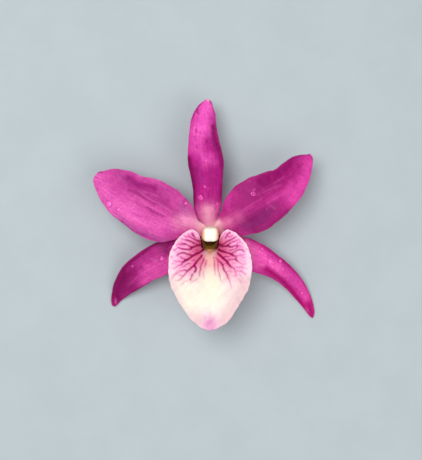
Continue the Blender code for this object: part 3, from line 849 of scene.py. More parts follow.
def tepalMaterial(tepal):
    look = tepalPaint
    material, tree, skin, place = startMaterial(tepal["node"] + "_tissue")
    swatch = {key: colour(*value) for key, value in tepal["colours"].items()}
    uv = addNode(tree, "ShaderNodeUVMap", uv_map="grown").outputs["UV"]
    grain = placeGrain(tree, place, look["finish"])
    streaks = placeGroup(
        tree, lengthStreaks, Place=uv, Across=look["streaksAcross"], Along=look["streaksAlong"]
    )
    cloud = placeGroup(tree, mottling, Place=place, Patches=look["clouds"])
    specks = placeGroup(tree, mottling, Place=place, Patches=look["specks"])

    # The bright, violet and deep strokes lay the tepal's own tones, along with painted light and painted
    # shade, over its body colour.
    paintwork = swatch["body"]
    for key in ("bright", "violet", "deep", "pale"):
        paintwork = blendColour(tree, mark(tree, key), paintwork, swatch[key])

    # Streaks, clouds, specks and veins only make the paint beneath them lighter or darker,
    # and the first three are calmer where it is pale.
    streaky = calc(tree, "ADD", look["streakShade"], mark(tree, "streaky", look["middleStreakShade"]))
    shade = calc(tree, "MULTIPLY", streaky, streaks["Streak"])
    shade = calc(tree, "ADD", shade, calc(tree, "MULTIPLY", cloud["Patch"], look["cloudShade"]))
    shade = calc(tree, "ADD", shade, calc(tree, "MULTIPLY", specks["Patch"], look["speckShade"]))
    aboveMiddle = calc(tree, "SUBTRACT", shade, 0.5)
    calmed = calc(tree, "MULTIPLY", aboveMiddle, mark(tree, "pale", look["paleCalm"]))
    shade = calc(tree, "SUBTRACT", shade, calmed)
    paintwork = tinted(tree, paintwork, blendColour(tree, shade, look["lightest"], look["darkest"]))
    lighter = tinted(tree, paintwork, look["veinTint"])
    paintwork = blendColour(tree, mark(tree, "vein", look["veinShare"]), paintwork, lighter)
    # Thread strokes are painted highlights along low ridges and at tips; white strokes are painted light and
    # highlights.
    broken = calc(tree, "SUBTRACT", look["lightLineBreaks"], streaks["Streak"])
    lightLines = calc(tree, "MULTIPLY", mark(tree, "thread"), broken)
    paintwork = blendColour(tree, lightLines, paintwork, swatch["thread"])
    paintwork = blendColour(tree, mark(tree, "paintedLight"), paintwork, colour(*look["paintedLight"]))

    # The painted shade round a drop's foot and the painted light through it lie on the front alone.
    inFront = calc(tree, "SUBTRACT", 1.0, mark(tree, "back"))
    ring = calc(tree, "MULTIPLY", mark(tree, "ring", look["dropShadeShare"]), inFront)
    paintwork = blendColour(tree, ring, paintwork, tinted(tree, paintwork, look["dropShadeTint"]))
    paintedDropLight = calc(tree, "MULTIPLY", mark(tree, "paintedDropLight"), inFront)
    paintwork = blendColour(tree, paintedDropLight, paintwork, blendColour(tree, 0.5, paintwork, swatch["thread"]))

    paintwork = blendColour(tree, mark(tree, "rim", look["rimShare"]), paintwork, look["rimLight"])
    # Glinting cells are also painted lighter: a painted highlight.
    glint = calc(tree, "MULTIPLY", grain["Glint"], look["glintShare"])
    paintwork = blendColour(tree, glint, paintwork, look["glintLight"])
    behind = blendColour(tree, look["behindShare"], paintwork, colour(*look["behind"]))
    paintwork = blendColour(tree, mark(tree, "back", look["backShare"]), paintwork, behind)
    finishSkin(tree, skin, paintwork, grain, look["finish"])
    return material


print("making the sepals and petals")
tepals = [dorsalSepal, petalLeft, petalRight, lateralSepalLeft, lateralSepalRight]
for tepal in tepals:
    makeTepal(tepal, tepalMaterial(tepal))


# Lip

lip = {
    "throat": (0.0, -5.7),
    "baseCentre": (0.0, -5.0),
    "baseHalf": (2.6, 1.9),
    "baseSweep": 110.0,
    "baseDepth": (-4.8, -3.0),
    "sweep": 140.0,
    # Degrees from the tip's direction, and the margin's distance from the throat.
    "margin": [
        (0.0, 22.1), (7.0, 21.45), (14.0, 20.1), (22.5, 18.1), (34.0, 16.15), (45.0, 14.8), (56.5, 13.3),
        (71.0, 11.8), (87.0, 10.4), (102.0, 9.1), (118.0, 8.0), (129.0, 7.25), (136.0, 6.6), (140.0, 5.1),
    ],
    "marginHeight": (7.38, 5.95, 6.2),
    "climb": (1.8, 2.6),
    "flare": (1.0, 1.8),
    "midlineRounding": 0.22,
    "crisp": (0.35, 11.0),
    "frill": (0.13, 37.0),
    "veinWidth": (0.14, 0.21),  # half width of the faintest vein, and what the darkest has more
    "rows": 112,
    "columns": 344,
    "rowCrowding": 0.5,
    "columnCrowding": 0.2,
    "half": 0.2,
    "bumps": (0.1, 0.03),  # height of the wide ones and of the fine ones
    "channelDepth": 0.08,
    "veinRelief": (0.03, 0.05),  # in front and behind
    "finish": {"cells": 5200.0, "glints": 0.4, "rough": 0.55, "bump": 0.3, "shine": 0.15, "glow": 0.1},
    "clouds": 420.0,
    "specks": 2000.0,
    "blushShare": 0.52,
    "colours": {
        "body": (251, 229, 235),
        "lobe": (254, 182, 228),
        "rose": (246, 82, 146),
        "lilac": (236, 78, 182),
        # Shell is the colour of the painted shade on the lip's lower sides.
        "shell": (227, 188, 194),
        "cream": (250, 253, 228),
        "peach": (255, 212, 198),
        "throat": (204, 144, 92),
        "mauve": (220, 106, 182),
        "rim": (255, 213, 230),
        "vein": (158, 0, 90),
        "veinPale": (206, 38, 146),
        "outside": (236, 172, 204),
    },
    "cream": [
        (0.95, 3.6, [(0.3, -15.2), (0.3, -18.8)]),
        (0.8, 1.5, [(0.2, -12.6), (0.3, -15.0)]),
        (0.5, 5.4, [(0.0, -14.8), (-0.2, -19.0)]),
        (0.7, 3.0, [(-6.8, -16.4), (-5.2, -21.0)]),
    ],
    # Lobe, rose, glow and shell are drawn on the right and mirrored.
    "lobe": [
        (0.85, 2.6, [(5.0, -2.6), (7.4, -5.0), (8.2, -8.0)]),
        (0.6, 2.4, [(8.2, -8.0), (7.4, -11.5)]),
        (0.4, 2.4, [(6.4, -12.5), (4.6, -14.0)]),
    ],
    "rose": [
        (0.9, 1.6, [(3.0, -5.0), (3.4, -7.4), (2.8, -9.8)]),
        (0.45, 2.2, [(4.8, -4.8), (5.0, -7.5), (4.6, -10.0)]),
        (0.4, 1.0, [(3.4, -7.8), (4.6, -9.8)]),
        (0.3, 2.6, [(6.5, -9.5), (4.8, -12.5)]),
        (0.6, 1.0, [(1.9, -8.6), (1.8, -11.0)]),
        (0.3, 1.1, [(1.6, -11.0), (2.0, -13.0)]),
    ],
    "glow": [
        (0.5, 0.7, [(7.5, -9.0), (9.2, -8.6)]),
        (0.5, 0.6, [(6.6, -6.9), (8.2, -7.0)]),
        (0.4, 0.6, [(6.0, -4.9), (7.2, -4.7)]),
        (0.4, 0.5, [(5.6, -9.9), (7.4, -10.4)]),
    ],
    # Painted shade on the lower sides, where the lip curves away from the light.
    "shell": [
        (0.9, 2.2, [(9.6, -15.5), (7.8, -19.6), (4.4, -24.4), (3.4, -26.0)]),
        (0.25, 3.2, [(7.6, -15.5), (5.0, -21.6)]),
    ],
    "peach": [(0.95, 1.35, [(0.0, -6.4), (0.0, -9.4)]), (0.4, 1.3, [(0.0, -9.4), (0.0, -11.2)])],
    "throatShade": [(0.7, 0.6, [(0.0, -6.3), (0.0, -7.1)]), (0.5, 0.4, [(-1.6, -6.3), (1.6, -6.3)])],
    "mauve": [
        (0.72, 1.3, [(0.1, -27.0), (-0.2, -28.6)]),
        (0.45, 2.4, [(0.2, -26.6), (0.0, -28.8)]),
        (0.25, 0.5, [(-1.3, -24.8), (-0.6, -27.0)]),
        (0.25, 0.5, [(1.1, -24.6), (0.7, -26.8)]),
        (0.2, 0.5, [(0.1, -23.8), (0.1, -26.0)]),
    ],
    # The veins, as the camera sees them: x, y and darkness of points along each.
    "veins": [
        [(-5.0, -2.0, 0.7), (-4.6, -2.4, 0.8), (-4.1, -3.1, 0.6)],
        [
            (-7.0, -2.6, 0.35), (-6.6, -2.9, 0.45), (-5.7, -2.9, 0.6), (-5.1, -3.2, 0.65),
            (-4.3, -3.6, 0.75), (-3.4, -4.0, 0.8), (-2.6, -4.3, 0.8),
        ],
        [(-6.0, -2.1, 0.2), (-5.7, -2.6, 0.3), (-5.4, -3.1, 0.35)],
        [
            (-7.9, -3.5, 0.3), (-7.1, -3.7, 0.4), (-6.2, -3.9, 0.75), (-5.3, -4.2, 0.8),
            (-4.5, -4.6, 0.75), (-3.9, -4.9, 0.5), (-3.3, -5.1, 0.5),
        ],
        [
            (-9.1, -5.3, 0.45), (-8.7, -4.9, 0.5), (-7.8, -5.0, 0.6), (-7.1, -4.9, 0.8),
            (-6.7, -4.9, 0.75), (-6.1, -5.2, 0.6), (-5.5, -5.6, 0.7), (-5.0, -5.8, 0.9),
        ],
        [(-8.1, -4.2, 0.2), (-7.7, -4.5, 0.35), (-7.2, -4.9, 0.45)],
        [
            (-2.5, -5.2, 1.0), (-3.2, -5.2, 0.9), (-3.9, -5.5, 0.9), (-4.5, -5.7, 0.95),
            (-5.0, -5.9, 1.0), (-5.5, -6.3, 0.85), (-6.2, -6.4, 0.75), (-7.0, -6.3, 0.75),
            (-7.8, -6.2, 0.7), (-8.5, -5.9, 0.55),
        ],
        [(-8.5, -5.9, 0.3), (-9.0, -6.1, 0.3), (-9.6, -6.5, 0.4), (-10.1, -6.7, 0.25)],
        [
            (-4.6, -8.1, 0.8), (-5.3, -7.9, 0.8), (-6.1, -7.7, 0.75), (-6.9, -7.4, 0.75),
            (-7.5, -7.3, 0.75), (-8.2, -7.5, 0.65), (-8.8, -7.7, 0.6), (-8.9, -8.1, 0.5),
        ],
        [
            (-1.9, -6.5, 1.0), (-2.7, -7.1, 1.0), (-3.7, -7.6, 1.0), (-4.6, -8.1, 1.0),
            (-5.5, -8.8, 0.9), (-6.3, -9.3, 1.0), (-7.3, -9.8, 0.8), (-7.8, -10.5, 0.5),
        ],
        [(-6.3, -9.3, 0.7), (-7.1, -9.0, 0.6), (-7.7, -8.7, 0.6), (-8.3, -8.3, 0.3)],
        [(-7.3, -9.8, 0.6), (-8.1, -9.7, 0.45), (-9.0, -9.7, 0.35), (-9.8, -9.5, 0.3)],
        [(-10.6, -8.3, 0.3), (-10.4, -8.5, 0.3)],
        [(-9.9, -10.2, 0.3), (-10.5, -10.3, 0.2)],
        [(-3.2, -6.7, 0.5), (-3.7, -6.6, 0.5), (-4.2, -6.4, 0.3)],
        [(-3.8, -7.2, 0.3), (-4.6, -7.0, 0.3)],
        [(-4.1, -9.4, 0.5), (-5.0, -9.4, 0.35)],
        [(-2.3, -8.1, 0.9), (-2.6, -8.6, 0.85), (-3.3, -9.3, 0.85), (-3.7, -9.9, 0.95), (-4.3, -10.6, 1.0)],
        [(-1.6, -8.7, 0.4), (-1.8, -9.4, 0.6), (-2.1, -9.9, 0.4)],
        [
            (-4.3, -10.8, 1.0), (-5.0, -11.3, 0.85), (-5.4, -11.7, 0.8), (-6.2, -12.3, 0.75),
            (-6.6, -12.9, 0.55), (-7.2, -13.6, 0.55), (-7.8, -14.1, 0.35), (-8.5, -14.8, 0.2),
        ],
        [
            (-4.3, -10.8, 1.0), (-4.0, -11.2, 0.9), (-3.8, -11.7, 0.8), (-4.1, -12.4, 0.9),
            (-4.5, -12.9, 0.35), (-4.9, -13.4, 0.75), (-5.1, -13.9, 0.45), (-5.4, -14.7, 0.6),
        ],
        [
            (-6.2, -12.2, 0.6), (-6.9, -12.1, 0.55), (-8.0, -12.2, 0.4), (-8.6, -12.5, 0.25),
            (-9.3, -13.0, 0.25), (-10.0, -13.8, 0.15),
        ],
        [(-7.8, -13.4, 0.3), (-8.5, -13.4, 0.25)],
        [(-5.6, -10.2, 0.5), (-6.1, -10.3, 0.5), (-6.7, -10.7, 0.45), (-7.2, -11.1, 0.45)],
        [
            (-7.6, -10.4, 0.5), (-7.8, -10.6, 0.45), (-8.6, -10.9, 0.35), (-9.6, -11.5, 0.3),
            (-10.2, -11.6, 0.15),
        ],
        [
            (-1.7, -9.3, 0.5), (-2.3, -10.3, 0.5), (-2.6, -11.1, 0.55), (-2.6, -11.8, 0.55),
            (-2.8, -12.7, 0.45), (-2.9, -13.7, 0.35),
        ],
        [(-0.9, -9.3, 0.3), (-1.2, -10.3, 0.5), (-1.3, -11.3, 0.2)],
        [(-1.7, -12.4, 0.1), (-1.8, -13.3, 0.2), (-1.6, -14.5, 0.08)],
        [(-3.2, -14.3, 0.12), (-3.9, -14.7, 0.2), (-4.6, -15.1, 0.2), (-5.2, -15.4, 0.12)],
        [(-6.2, -14.9, 0.12), (-7.0, -15.3, 0.15), (-7.7, -16.0, 0.22)],
        [(-9.4, -12.9, 0.15), (-10.1, -13.7, 0.15), (-10.5, -14.3, 0.1)],
        [(5.4, -1.9, 0.7), (4.9, -2.2, 0.6), (4.5, -2.8, 0.7), (4.2, -3.3, 0.7)],
        [(4.2, -1.9, 0.35), (3.8, -2.4, 0.3), (3.5, -2.9, 0.25), (3.0, -3.7, 0.3)],
        [(6.2, -2.5, 0.3), (5.8, -2.8, 0.4), (5.3, -2.9, 0.5), (4.7, -2.8, 0.4)],
        [
            (7.3, -2.8, 0.25), (6.8, -3.1, 0.55), (6.2, -3.5, 0.65), (5.5, -3.9, 0.7),
            (4.6, -4.3, 0.7), (4.1, -4.7, 0.7), (3.5, -5.0, 0.7),
        ],
        [(7.6, -3.7, 0.35), (7.0, -4.1, 0.55), (6.2, -4.4, 0.55), (5.5, -4.7, 0.6), (5.0, -5.2, 0.7)],
        [
            (2.8, -5.1, 1.0), (3.5, -5.5, 1.0), (4.2, -5.5, 0.85), (4.9, -5.4, 1.0), (5.5, -5.6, 0.85),
            (6.2, -5.6, 0.7), (6.9, -5.3, 0.6), (7.5, -5.5, 0.75),
        ],
        [(7.9, -4.4, 0.2), (7.6, -4.8, 0.4), (7.3, -5.3, 0.5)],
        [(7.5, -5.5, 0.7), (7.2, -6.1, 0.5), (6.8, -6.4, 0.4), (6.0, -6.5, 0.55), (5.3, -6.7, 0.5)],
        [(7.5, -5.5, 0.4), (8.1, -5.4, 0.35), (8.8, -5.7, 0.25)],
        [(7.8, -3.5, 0.25), (8.1, -3.9, 0.35), (8.3, -4.4, 0.3)],
        [(8.7, -4.7, 0.25), (8.9, -4.9, 0.25)],
        [(9.8, -6.3, 0.18), (10.0, -6.5, 0.18)],
        [
            (6.0, -7.4, 0.6), (6.8, -7.0, 0.6), (7.5, -6.6, 0.6), (8.3, -6.5, 0.6), (8.9, -6.6, 0.6),
            (9.3, -7.0, 0.6),
        ],
        [
            (2.4, -6.4, 1.0), (3.0, -6.8, 1.0), (3.7, -7.0, 1.0), (4.3, -7.2, 0.9), (5.1, -7.4, 0.8),
            (5.7, -7.7, 1.0), (6.1, -8.0, 0.9), (6.8, -8.3, 0.6), (7.2, -8.5, 0.5), (7.1, -9.1, 0.85),
            (7.6, -9.6, 0.6), (7.9, -9.9, 0.4), (8.4, -10.2, 0.3), (8.9, -10.5, 0.3),
            (9.6, -10.4, 0.2),
        ],
        [(6.8, -8.3, 0.35), (7.7, -8.1, 0.3), (8.5, -8.0, 0.3), (9.4, -7.7, 0.25)],
        [(8.9, -8.7, 0.3), (9.5, -8.7, 0.2)],
        [(3.8, -8.5, 0.5), (4.4, -8.3, 0.65), (4.9, -8.4, 0.5), (5.4, -8.3, 0.4)],
        [(4.9, -9.4, 0.5), (5.4, -9.2, 0.6), (5.9, -9.1, 0.6), (6.4, -9.1, 0.5), (7.0, -9.1, 0.5)],
        [(4.6, -6.3, 0.3), (4.1, -6.4, 0.3), (3.5, -6.6, 0.4)],
        [(6.0, -9.8, 0.15), (6.5, -10.2, 0.3), (7.0, -10.2, 0.2)],
        [
            (2.1, -7.4, 0.9), (2.6, -7.9, 1.0), (3.1, -8.3, 1.0), (3.6, -8.8, 1.0), (4.2, -9.3, 0.95),
            (4.7, -9.8, 1.0), (5.1, -10.4, 0.9), (5.4, -10.8, 0.9),
        ],
        [
            (4.5, -9.6, 0.9), (5.0, -10.2, 0.9), (5.4, -10.8, 0.85), (6.0, -11.3, 0.65),
            (6.6, -11.6, 0.5), (6.8, -12.2, 0.4), (7.0, -12.8, 0.35), (7.1, -13.4, 0.4),
        ],
        [(6.3, -13.7, 0.2), (7.2, -13.5, 0.3)],
        [(7.2, -11.3, 0.3), (7.9, -11.2, 0.35), (8.9, -11.3, 0.35), (9.8, -11.5, 0.2), (10.4, -11.8, 0.15)],
        [(7.2, -12.3, 0.3), (8.1, -12.3, 0.35), (8.9, -12.6, 0.35), (9.8, -13.1, 0.3)],
        [(7.9, -14.6, 0.15), (8.4, -15.4, 0.15), (8.9, -15.8, 0.1)],
        [
            (1.4, -8.6, 0.3), (1.9, -9.0, 0.55), (2.5, -9.6, 0.65), (3.2, -10.3, 0.85),
            (3.6, -11.2, 0.75), (3.8, -12.0, 0.75), (4.3, -12.7, 0.65), (4.9, -14.0, 0.5),
            (5.4, -15.0, 0.3), (5.6, -16.0, 0.2), (6.0, -17.1, 0.1),
        ],
        [(0.9, -8.6, 0.3), (1.2, -9.4, 0.35), (1.2, -10.7, 0.5), (1.3, -11.9, 0.3), (1.4, -13.5, 0.12)],
        [
            (2.1, -9.4, 0.3), (2.2, -10.4, 0.4), (2.2, -11.6, 0.35), (2.5, -12.8, 0.35),
            (2.7, -13.8, 0.3), (3.1, -15.3, 0.12),
        ],
        [(3.6, -10.4, 0.3), (4.7, -10.3, 0.35)],
        [(4.9, -11.2, 0.15), (5.3, -11.6, 0.2)],
        [(4.6, -12.4, 0.25), (5.4, -12.3, 0.25), (6.1, -12.6, 0.2)],
        [(-0.1, -10.5, 0.12), (-0.0, -11.2, 0.1)],
    ],
    # More of them are drawn between these degrees from the tip's direction.
    "marginVeins": {"from": 38.0, "to": 138.0, "count": 16, "inner": 0.74, "outer": 0.93},
}


def lipSurface(across, out):
    # across runs from the right lobe (-1) to the left one (1), and out from the base to the margin.
    side = np.abs(across)
    rounding = lip["midlineRounding"]
    folded = (np.hypot(across, rounding) - rounding) / (math.hypot(1, rounding) - rounding)
    bend, turn = np.radians(-lip["baseSweep"] * across), np.radians(-lip["sweep"] * across)
    degrees = np.array([row[0] for row in lip["margin"]])
    places = np.interp(lip["sweep"] * side, degrees, np.linspace(0, 1, len(degrees)))
    reach = curveThrough([[row[1]] for row in lip["margin"]], places)[..., 0]
    reach = reach * (1 + 0.006 * softWaves(across * 40, across * 0, 4.0, 31) * smooth(out, 0.6, 1.0))
    baseX = lip["baseCentre"][0] + lip["baseHalf"][0] * np.sin(bend)
    baseY = lip["baseCentre"][1] - lip["baseHalf"][1] * np.cos(bend)
    marginX, marginY = lip["throat"][0] + np.sin(turn) * reach, lip["throat"][1] - np.cos(turn) * reach
    front, middle, lobe = lip["marginHeight"]
    top = front + (middle - front) * np.sin(np.pi * np.minimum(side, 0.5)) ** 2
    top = np.where(side > 0.5, middle + (lobe - middle) * (2 * side - 1), top)
    bottom = lip["baseDepth"][0] + (lip["baseDepth"][1] - lip["baseDepth"][0]) * folded**1.1
    climb = lip["climb"][0] + (lip["climb"][1] - lip["climb"][0]) * folded
    flare = lip["flare"][0] + (lip["flare"][1] - lip["flare"][0]) * folded
    x = baseX + (marginX - baseX) * out**flare
    y = baseY + (marginY - baseY) * out**flare
    calm = np.minimum(1.0, 4 * (1 - side))
    (height, count), (fine, fineCount) = lip["crisp"], lip["frill"]
    crisp = height * out**4 * np.sin(np.pi * count * across) * calm
    crisp += fine * out**7 * np.sin(np.pi * fineCount * across + 2 * np.sin(5 * across)) * calm
    return np.stack([x, y, bottom + (top - bottom) * (1 - (1 - out) ** climb) + crisp], -1)


def shortMarginVeins():
    # Short faint veins that end near the margin, drawn by chance between the given degrees.
    draw = random.Random(5)
    rule, lines = lip["marginVeins"], []
    for sign in (-1, 1):
        for k in range(rule["count"]):
            angle = rule["from"] + (rule["to"] - rule["from"]) * (k + draw.uniform(0.2, 0.8)) / rule["count"]
            reach = np.interp(angle, *zip(*lip["margin"]))
            inner = reach * (rule["inner"] + draw.uniform(-0.06, 0.06))
            outer = reach * (rule["outer"] - draw.uniform(0.0, 0.08))
            bend, dark = draw.uniform(-5, 5), draw.uniform(0.1, 0.22)
            line = []
            for f in (0.0, 0.5, 1.0):
                turn = math.radians(angle + bend * f * f)
                r = inner + (outer - inner) * f
                x, y = sign * math.sin(turn) * r, lip["throat"][1] - math.cos(turn) * r
                line.append((x, y, dark * (1 - 0.5 * f)))
            lines.append(line)
    return lines


def lipVeinMarks(x, y):
    # How near the nearest vein runs, how dark it is there, and the blush around the veins.
    rx = x + 0.03 * softWaves(x, y, 1.0, 41)
    ry = y + 0.03 * softWaves(x, y, 1.0, 42)
    near, dark, clear = np.zeros_like(x), np.zeros_like(x), np.ones_like(x)
    thin, more = lip["veinWidth"]
    for line in lip["veins"] + shortMarginVeins():
        points = curveThrough(line, np.linspace(0, 1, 4 * (len(line) - 1) + 1))
        tones = np.clip(points[:, 2], 0, 1)
        here, place = nearLine(rx, ry, points[:, :2], thin + more * tones)
        tone = np.interp(place, np.linspace(0, 1, len(tones)), tones)
        dark = np.maximum(dark, tone**0.66 * smooth(here, 0.02, 0.4))
        near = np.maximum(near, here)
        around = nearLine(rx, ry, points[:, :2], 2.6 * (thin + more * tones))[0]
        clear *= 1 - 0.75 * around * tone**0.8
    return near, dark, 1 - clear


def makeLip(material):
    across, out = np.meshgrid(
        2 * unevenSteps(lip["columns"], lip["columnCrowding"]) - 1,
        unevenSteps(lip["rows"], lip["rowCrowding"]),
        indexing="xy",
    )
    surface = lipSurface(across, out)
    x, y = surface[..., 0], surface[..., 1]
    seenX, seenY = seenFromAbove(surface)
    near, dark, blush = lipVeinMarks(seenX, seenY)

    # The veins stand up a little on both faces, and the channel and the bumps go through the blade.
    (wide, fine), (frontRelief, backRelief) = lip["bumps"], lip["veinRelief"]
    bumps = wide * softWaves(x, y, 3.4, 51) * smooth(out, 0.25, 0.6) + fine * softWaves(x, y, 1.1, 52)
    channel = lip["channelDepth"] * nearLine(x, y, [(0.0, -7.0), (0.0, -11.5)], (0.7, 1.3))[0]
    relief = frontRelief * near * dark - channel + bumps
    behind = -bumps + channel + backRelief * near * dark
    rounded = np.sqrt(1 - np.abs(across) ** 40) * np.sqrt(1 - np.clip((out - 0.985) / 0.015, 0, 1) ** 2)
    rounded = rounded * np.sqrt(1 - np.clip(1 - out / 0.02, 0, 1) ** 2)
    normal = surfaceNormals(surface)
    middle = surface - normal * lip["half"]
    front = middle + normal * ((lip["half"] + relief) * rounded)[..., None]
    back = middle - normal * ((lip["half"] + behind) * rounded)[..., None]

    marks = {key: paint(seenX, seenY, lip[key]) for key in ("cream", "peach", "throatShade", "mauve")}
    for key in ("lobe", "rose", "glow", "shell"):
        marks[key] = paint(seenX, seenY, mirrored(lip[key]))
    marks["vein"], marks["veinDark"], marks["blush"] = near, dark, blush
    marks["rim"] = smooth(out, 0.86, 1.0)
    uv = np.stack([across * 3 + 0.5, out], -1)
    dress(closedSheet("lip_blade", front, back, marks, uv), material, "lip", "lip")


def lipMaterial():
    material, tree, skin, place = startMaterial("lip_tissue")
    swatch = {key: colour(*value) for key, value in lip["colours"].items()}
    grain = placeGrain(tree, place, lip["finish"])
    cloud = placeGroup(tree, mottling, Place=place, Patches=lip["clouds"])
    specks = placeGroup(tree, mottling, Place=place, Patches=lip["specks"])
    vein, dark = mark(tree, "vein"), mark(tree, "veinDark")

    paintwork = swatch["body"]
    # Shell lays painted shade on the lower sides; the others are the lip's own colours.
    for key in ("lobe", "rim", "shell", "rose", "cream"):
        paintwork = blendColour(tree, mark(tree, key), paintwork, swatch[key])
    faint = blendColour(tree, 0.1, paintwork, swatch["rose"])
    paintwork = blendColour(tree, cloud["Patch"], paintwork, faint)
    creamier = blendColour(tree, 0.3, paintwork, swatch["cream"])
    paintwork = blendColour(tree, calc(tree, "MULTIPLY", specks["Patch"], 0.5), paintwork, creamier)
    paintwork = blendColour(tree, mark(tree, "glow"), paintwork, swatch["rim"])
    paintwork = blendColour(tree, mark(tree, "blush", lip["blushShare"]), paintwork, swatch["lilac"])
    paintwork = blendColour(tree, mark(tree, "peach"), paintwork, swatch["peach"])
    patches = calc(tree, "ADD", 0.6, calc(tree, "MULTIPLY", cloud["Patch"], 0.4))
    patchyMauve = calc(tree, "MULTIPLY", mark(tree, "mauve"), patches)
    paintwork = blendColour(tree, patchyMauve, paintwork, swatch["mauve"])
    paintwork = blendColour(tree, mark(tree, "throatShade"), paintwork, swatch["throat"])
    ink = blendColour(tree, stepBetween(tree, dark, 0.45, 1.0), swatch["veinPale"], swatch["vein"])
    drawn = calc(tree, "MULTIPLY", stepBetween(tree, vein, 0.12, 0.8), dark)
    paintwork = blendColour(tree, drawn, paintwork, ink)
    behind = blendColour(tree, 0.6, paintwork, swatch["outside"])
    paintwork = blendColour(tree, mark(tree, "back"), paintwork, behind)
    finishSkin(tree, skin, paintwork, grain, lip["finish"])
    return material


print("making the lip")
makeLip(lipMaterial())


# Column, anther cap and pollinia

column = {
    # y, z, half width and half height of each section, from the foot to the end.
    "sections": [
        (-7.1, -4.8, 0.4, 0.3), (-6.8, -4.75, 0.8, 0.4), (-6.4, -4.7, 1.65, 0.5), (-5.7, -4.6, 1.95, 0.65),
        (-4.6, -4.6, 1.95, 0.7), (-3.0, -4.45, 1.8, 0.8), (-1.85, -3.95, 1.6, 0.95),
        (-1.3, -2.9, 1.45, 1.15), (-1.2, -1.2, 1.45, 1.25), (-1.5, 1.0, 1.65, 1.5),
        (-2.2, 3.0, 2.0, 2.1), (-2.85, 4.55, 2.3, 2.5), (-2.91, 4.8, 2.25, 2.4),
    ],
    "rings": 80,
    "sides": 96,
    "rim": 0.1,  # share of the end's half width taken by the wall
    "lowerReach": 1.16,  # the end reaches further down than up
    "upperReach": 0.86,
    "lowerTaper": 0.2,
    "stigmaDepth": 2.0,
    "seatDepth": 0.35,
    "wing": 0.45,
    "finish": {"cells": 5000.0, "glints": 0.4, "rough": 0.65, "bump": 0.3, "shine": 0.04, "glow": 0.12},
    "clouds": 700.0,
    "cloudTint": (0.8, 0.78, 0.7, 1.0),
    "colours": {
        "body": (244, 214, 180), "olive": (104, 76, 22), "dark": (88, 42, 18), "blush": (206, 128, 150),
        "foot": (124, 94, 38), "toe": (216, 170, 130),
    },
}

cap = {
    "seat": (0.1, -2.1, 5.15),
    "tilt": 14.0,
    "half": (2.2, 1.98, 1.95),
    "square": 0.6,  # 1 is round, and less is squarer
    "hollow": 0.72,  # the hollow's share of the cap's size
    "furrowWidth": 0.28,
    "furrowDepth": 0.1,
    "outerRings": 44,
    "innerRings": 18,
    "sides": 84,
    "finish": {"cells": 7000.0, "glints": 0.3, "rough": 0.35, "bump": 0.2, "shine": 0.5, "glow": 0.25},
    "clouds": 900.0,
    "colours": {"body": (255, 253, 240), "peach": (248, 192, 144), "furrow": (250, 238, 220)},
}

pollinia = {
    "lift": 0.5,  # above the cap's seat
    "half": (0.82, 0.75, 0.45),
    "masses": 4,
    "rings": 24,
    "sides": 64,
    "finish": {"cells": 9000.0, "glints": 0.3, "rough": 0.35, "bump": 0.2, "shine": 0.5, "glow": 0.2},
    "clouds": 1500.0,
    "colours": {"body": (232, 190, 70), "light": (246, 216, 120)},
}


def leanWithColumn(points):
    # Turns the cap's upright shape to its seat on the column's end.
    lean = np.array(Matrix.Rotation(math.radians(cap["tilt"]), 3, "X"))
    return points @ lean.T + np.array(cap["seat"])


def squarish(values, power):
    return np.sign(values) * np.abs(values) ** power


def makeColumn(material):
    turn = np.linspace(0, 2 * np.pi, column["sides"], endpoint=False)
    lower = np.clip(-np.sin(turn), 0, 1)
    rings = []
    marks = {"olive": [], "dark": [], "blush": [], "foot": [], "toe": []}

    def addRing(t, share, raised, **strengths):
        # A ring at place t along the column, drawn in to a share of its size and raised along it.
        y, z, halfWidth, halfHeight = curveThrough(column["sections"], np.array(t))
        ahead = curveThrough(column["sections"], np.array(min(t + 0.02, 1.0)))
        behind = curveThrough(column["sections"], np.array(max(t - 0.02, 0.0)))
        way = (ahead - behind)[:2] / np.hypot(*(ahead - behind)[:2])
        end = smooth(np.array(t), 0.72, 0.98)
        power = 1 - 0.28 * end
        x = share * halfWidth * squarish(np.cos(turn), power) * (1 - column["lowerTaper"] * end * lower)
        reach = np.where(lower > 0, column["lowerReach"], column["upperReach"])
        out = share * halfHeight * squarish(np.sin(turn), power) * (1 + (reach - 1) * end)
        ringY = y + out * way[1] + raised * way[0]
        ringZ = z - out * way[0] + raised * way[1]
        rings.append(np.stack([x, ringY, ringZ], -1))
        for key in marks:
            marks[key].append(np.broadcast_to(strengths.get(key, 0.0), turn.shape))

    # The wings stand up beside the cap, and the wall dips in front of the stigma.
    lift = column["wing"] * (np.abs(np.cos(turn)) ** 3 - 0.6 * lower**4)
    below = smooth(np.sin(turn), 0.45, -0.35)
    for t in np.linspace(0, 1, column["rings"]):
        grown = smooth(t, 0.86, 1.0)
        addRing(t, 1.0, lift * grown, olive=smooth(t, 0.84, 0.97) * below, foot=smooth(t, 0.42, 0.3),
                toe=smooth(t, 0.2, 0.13), blush=smooth(t, 0.8, 0.55) * smooth(t, 0.3, 0.45))
    # The end folds over its rim into the hollow.
    inner = 1 - column["rim"]
    for q in [1 - 0.1 * column["rim"], 1 - 0.5 * column["rim"]] + np.linspace(inner, 0.04, 30).tolist():
        low = q * np.sin(turn)
        wall = smooth(np.array(q), inner - 0.2, inner)
        over = 0.06 * math.sin(math.pi * min((1 - q) / column["rim"], 1.0))
        bed = column["seatDepth"] + (column["stigmaDepth"] - column["seatDepth"]) * smooth(low, 0.05, -0.35)
        shadow = np.clip((1 - wall) * smooth(low, -1.0, -0.5), 0, 1)
        addRing(1.0, q, lift * wall - bed * (1 - wall) + over, olive=below, dark=shadow)
    dress(ringBody("column_body", np.array(rings), marks), material, "column", "column")


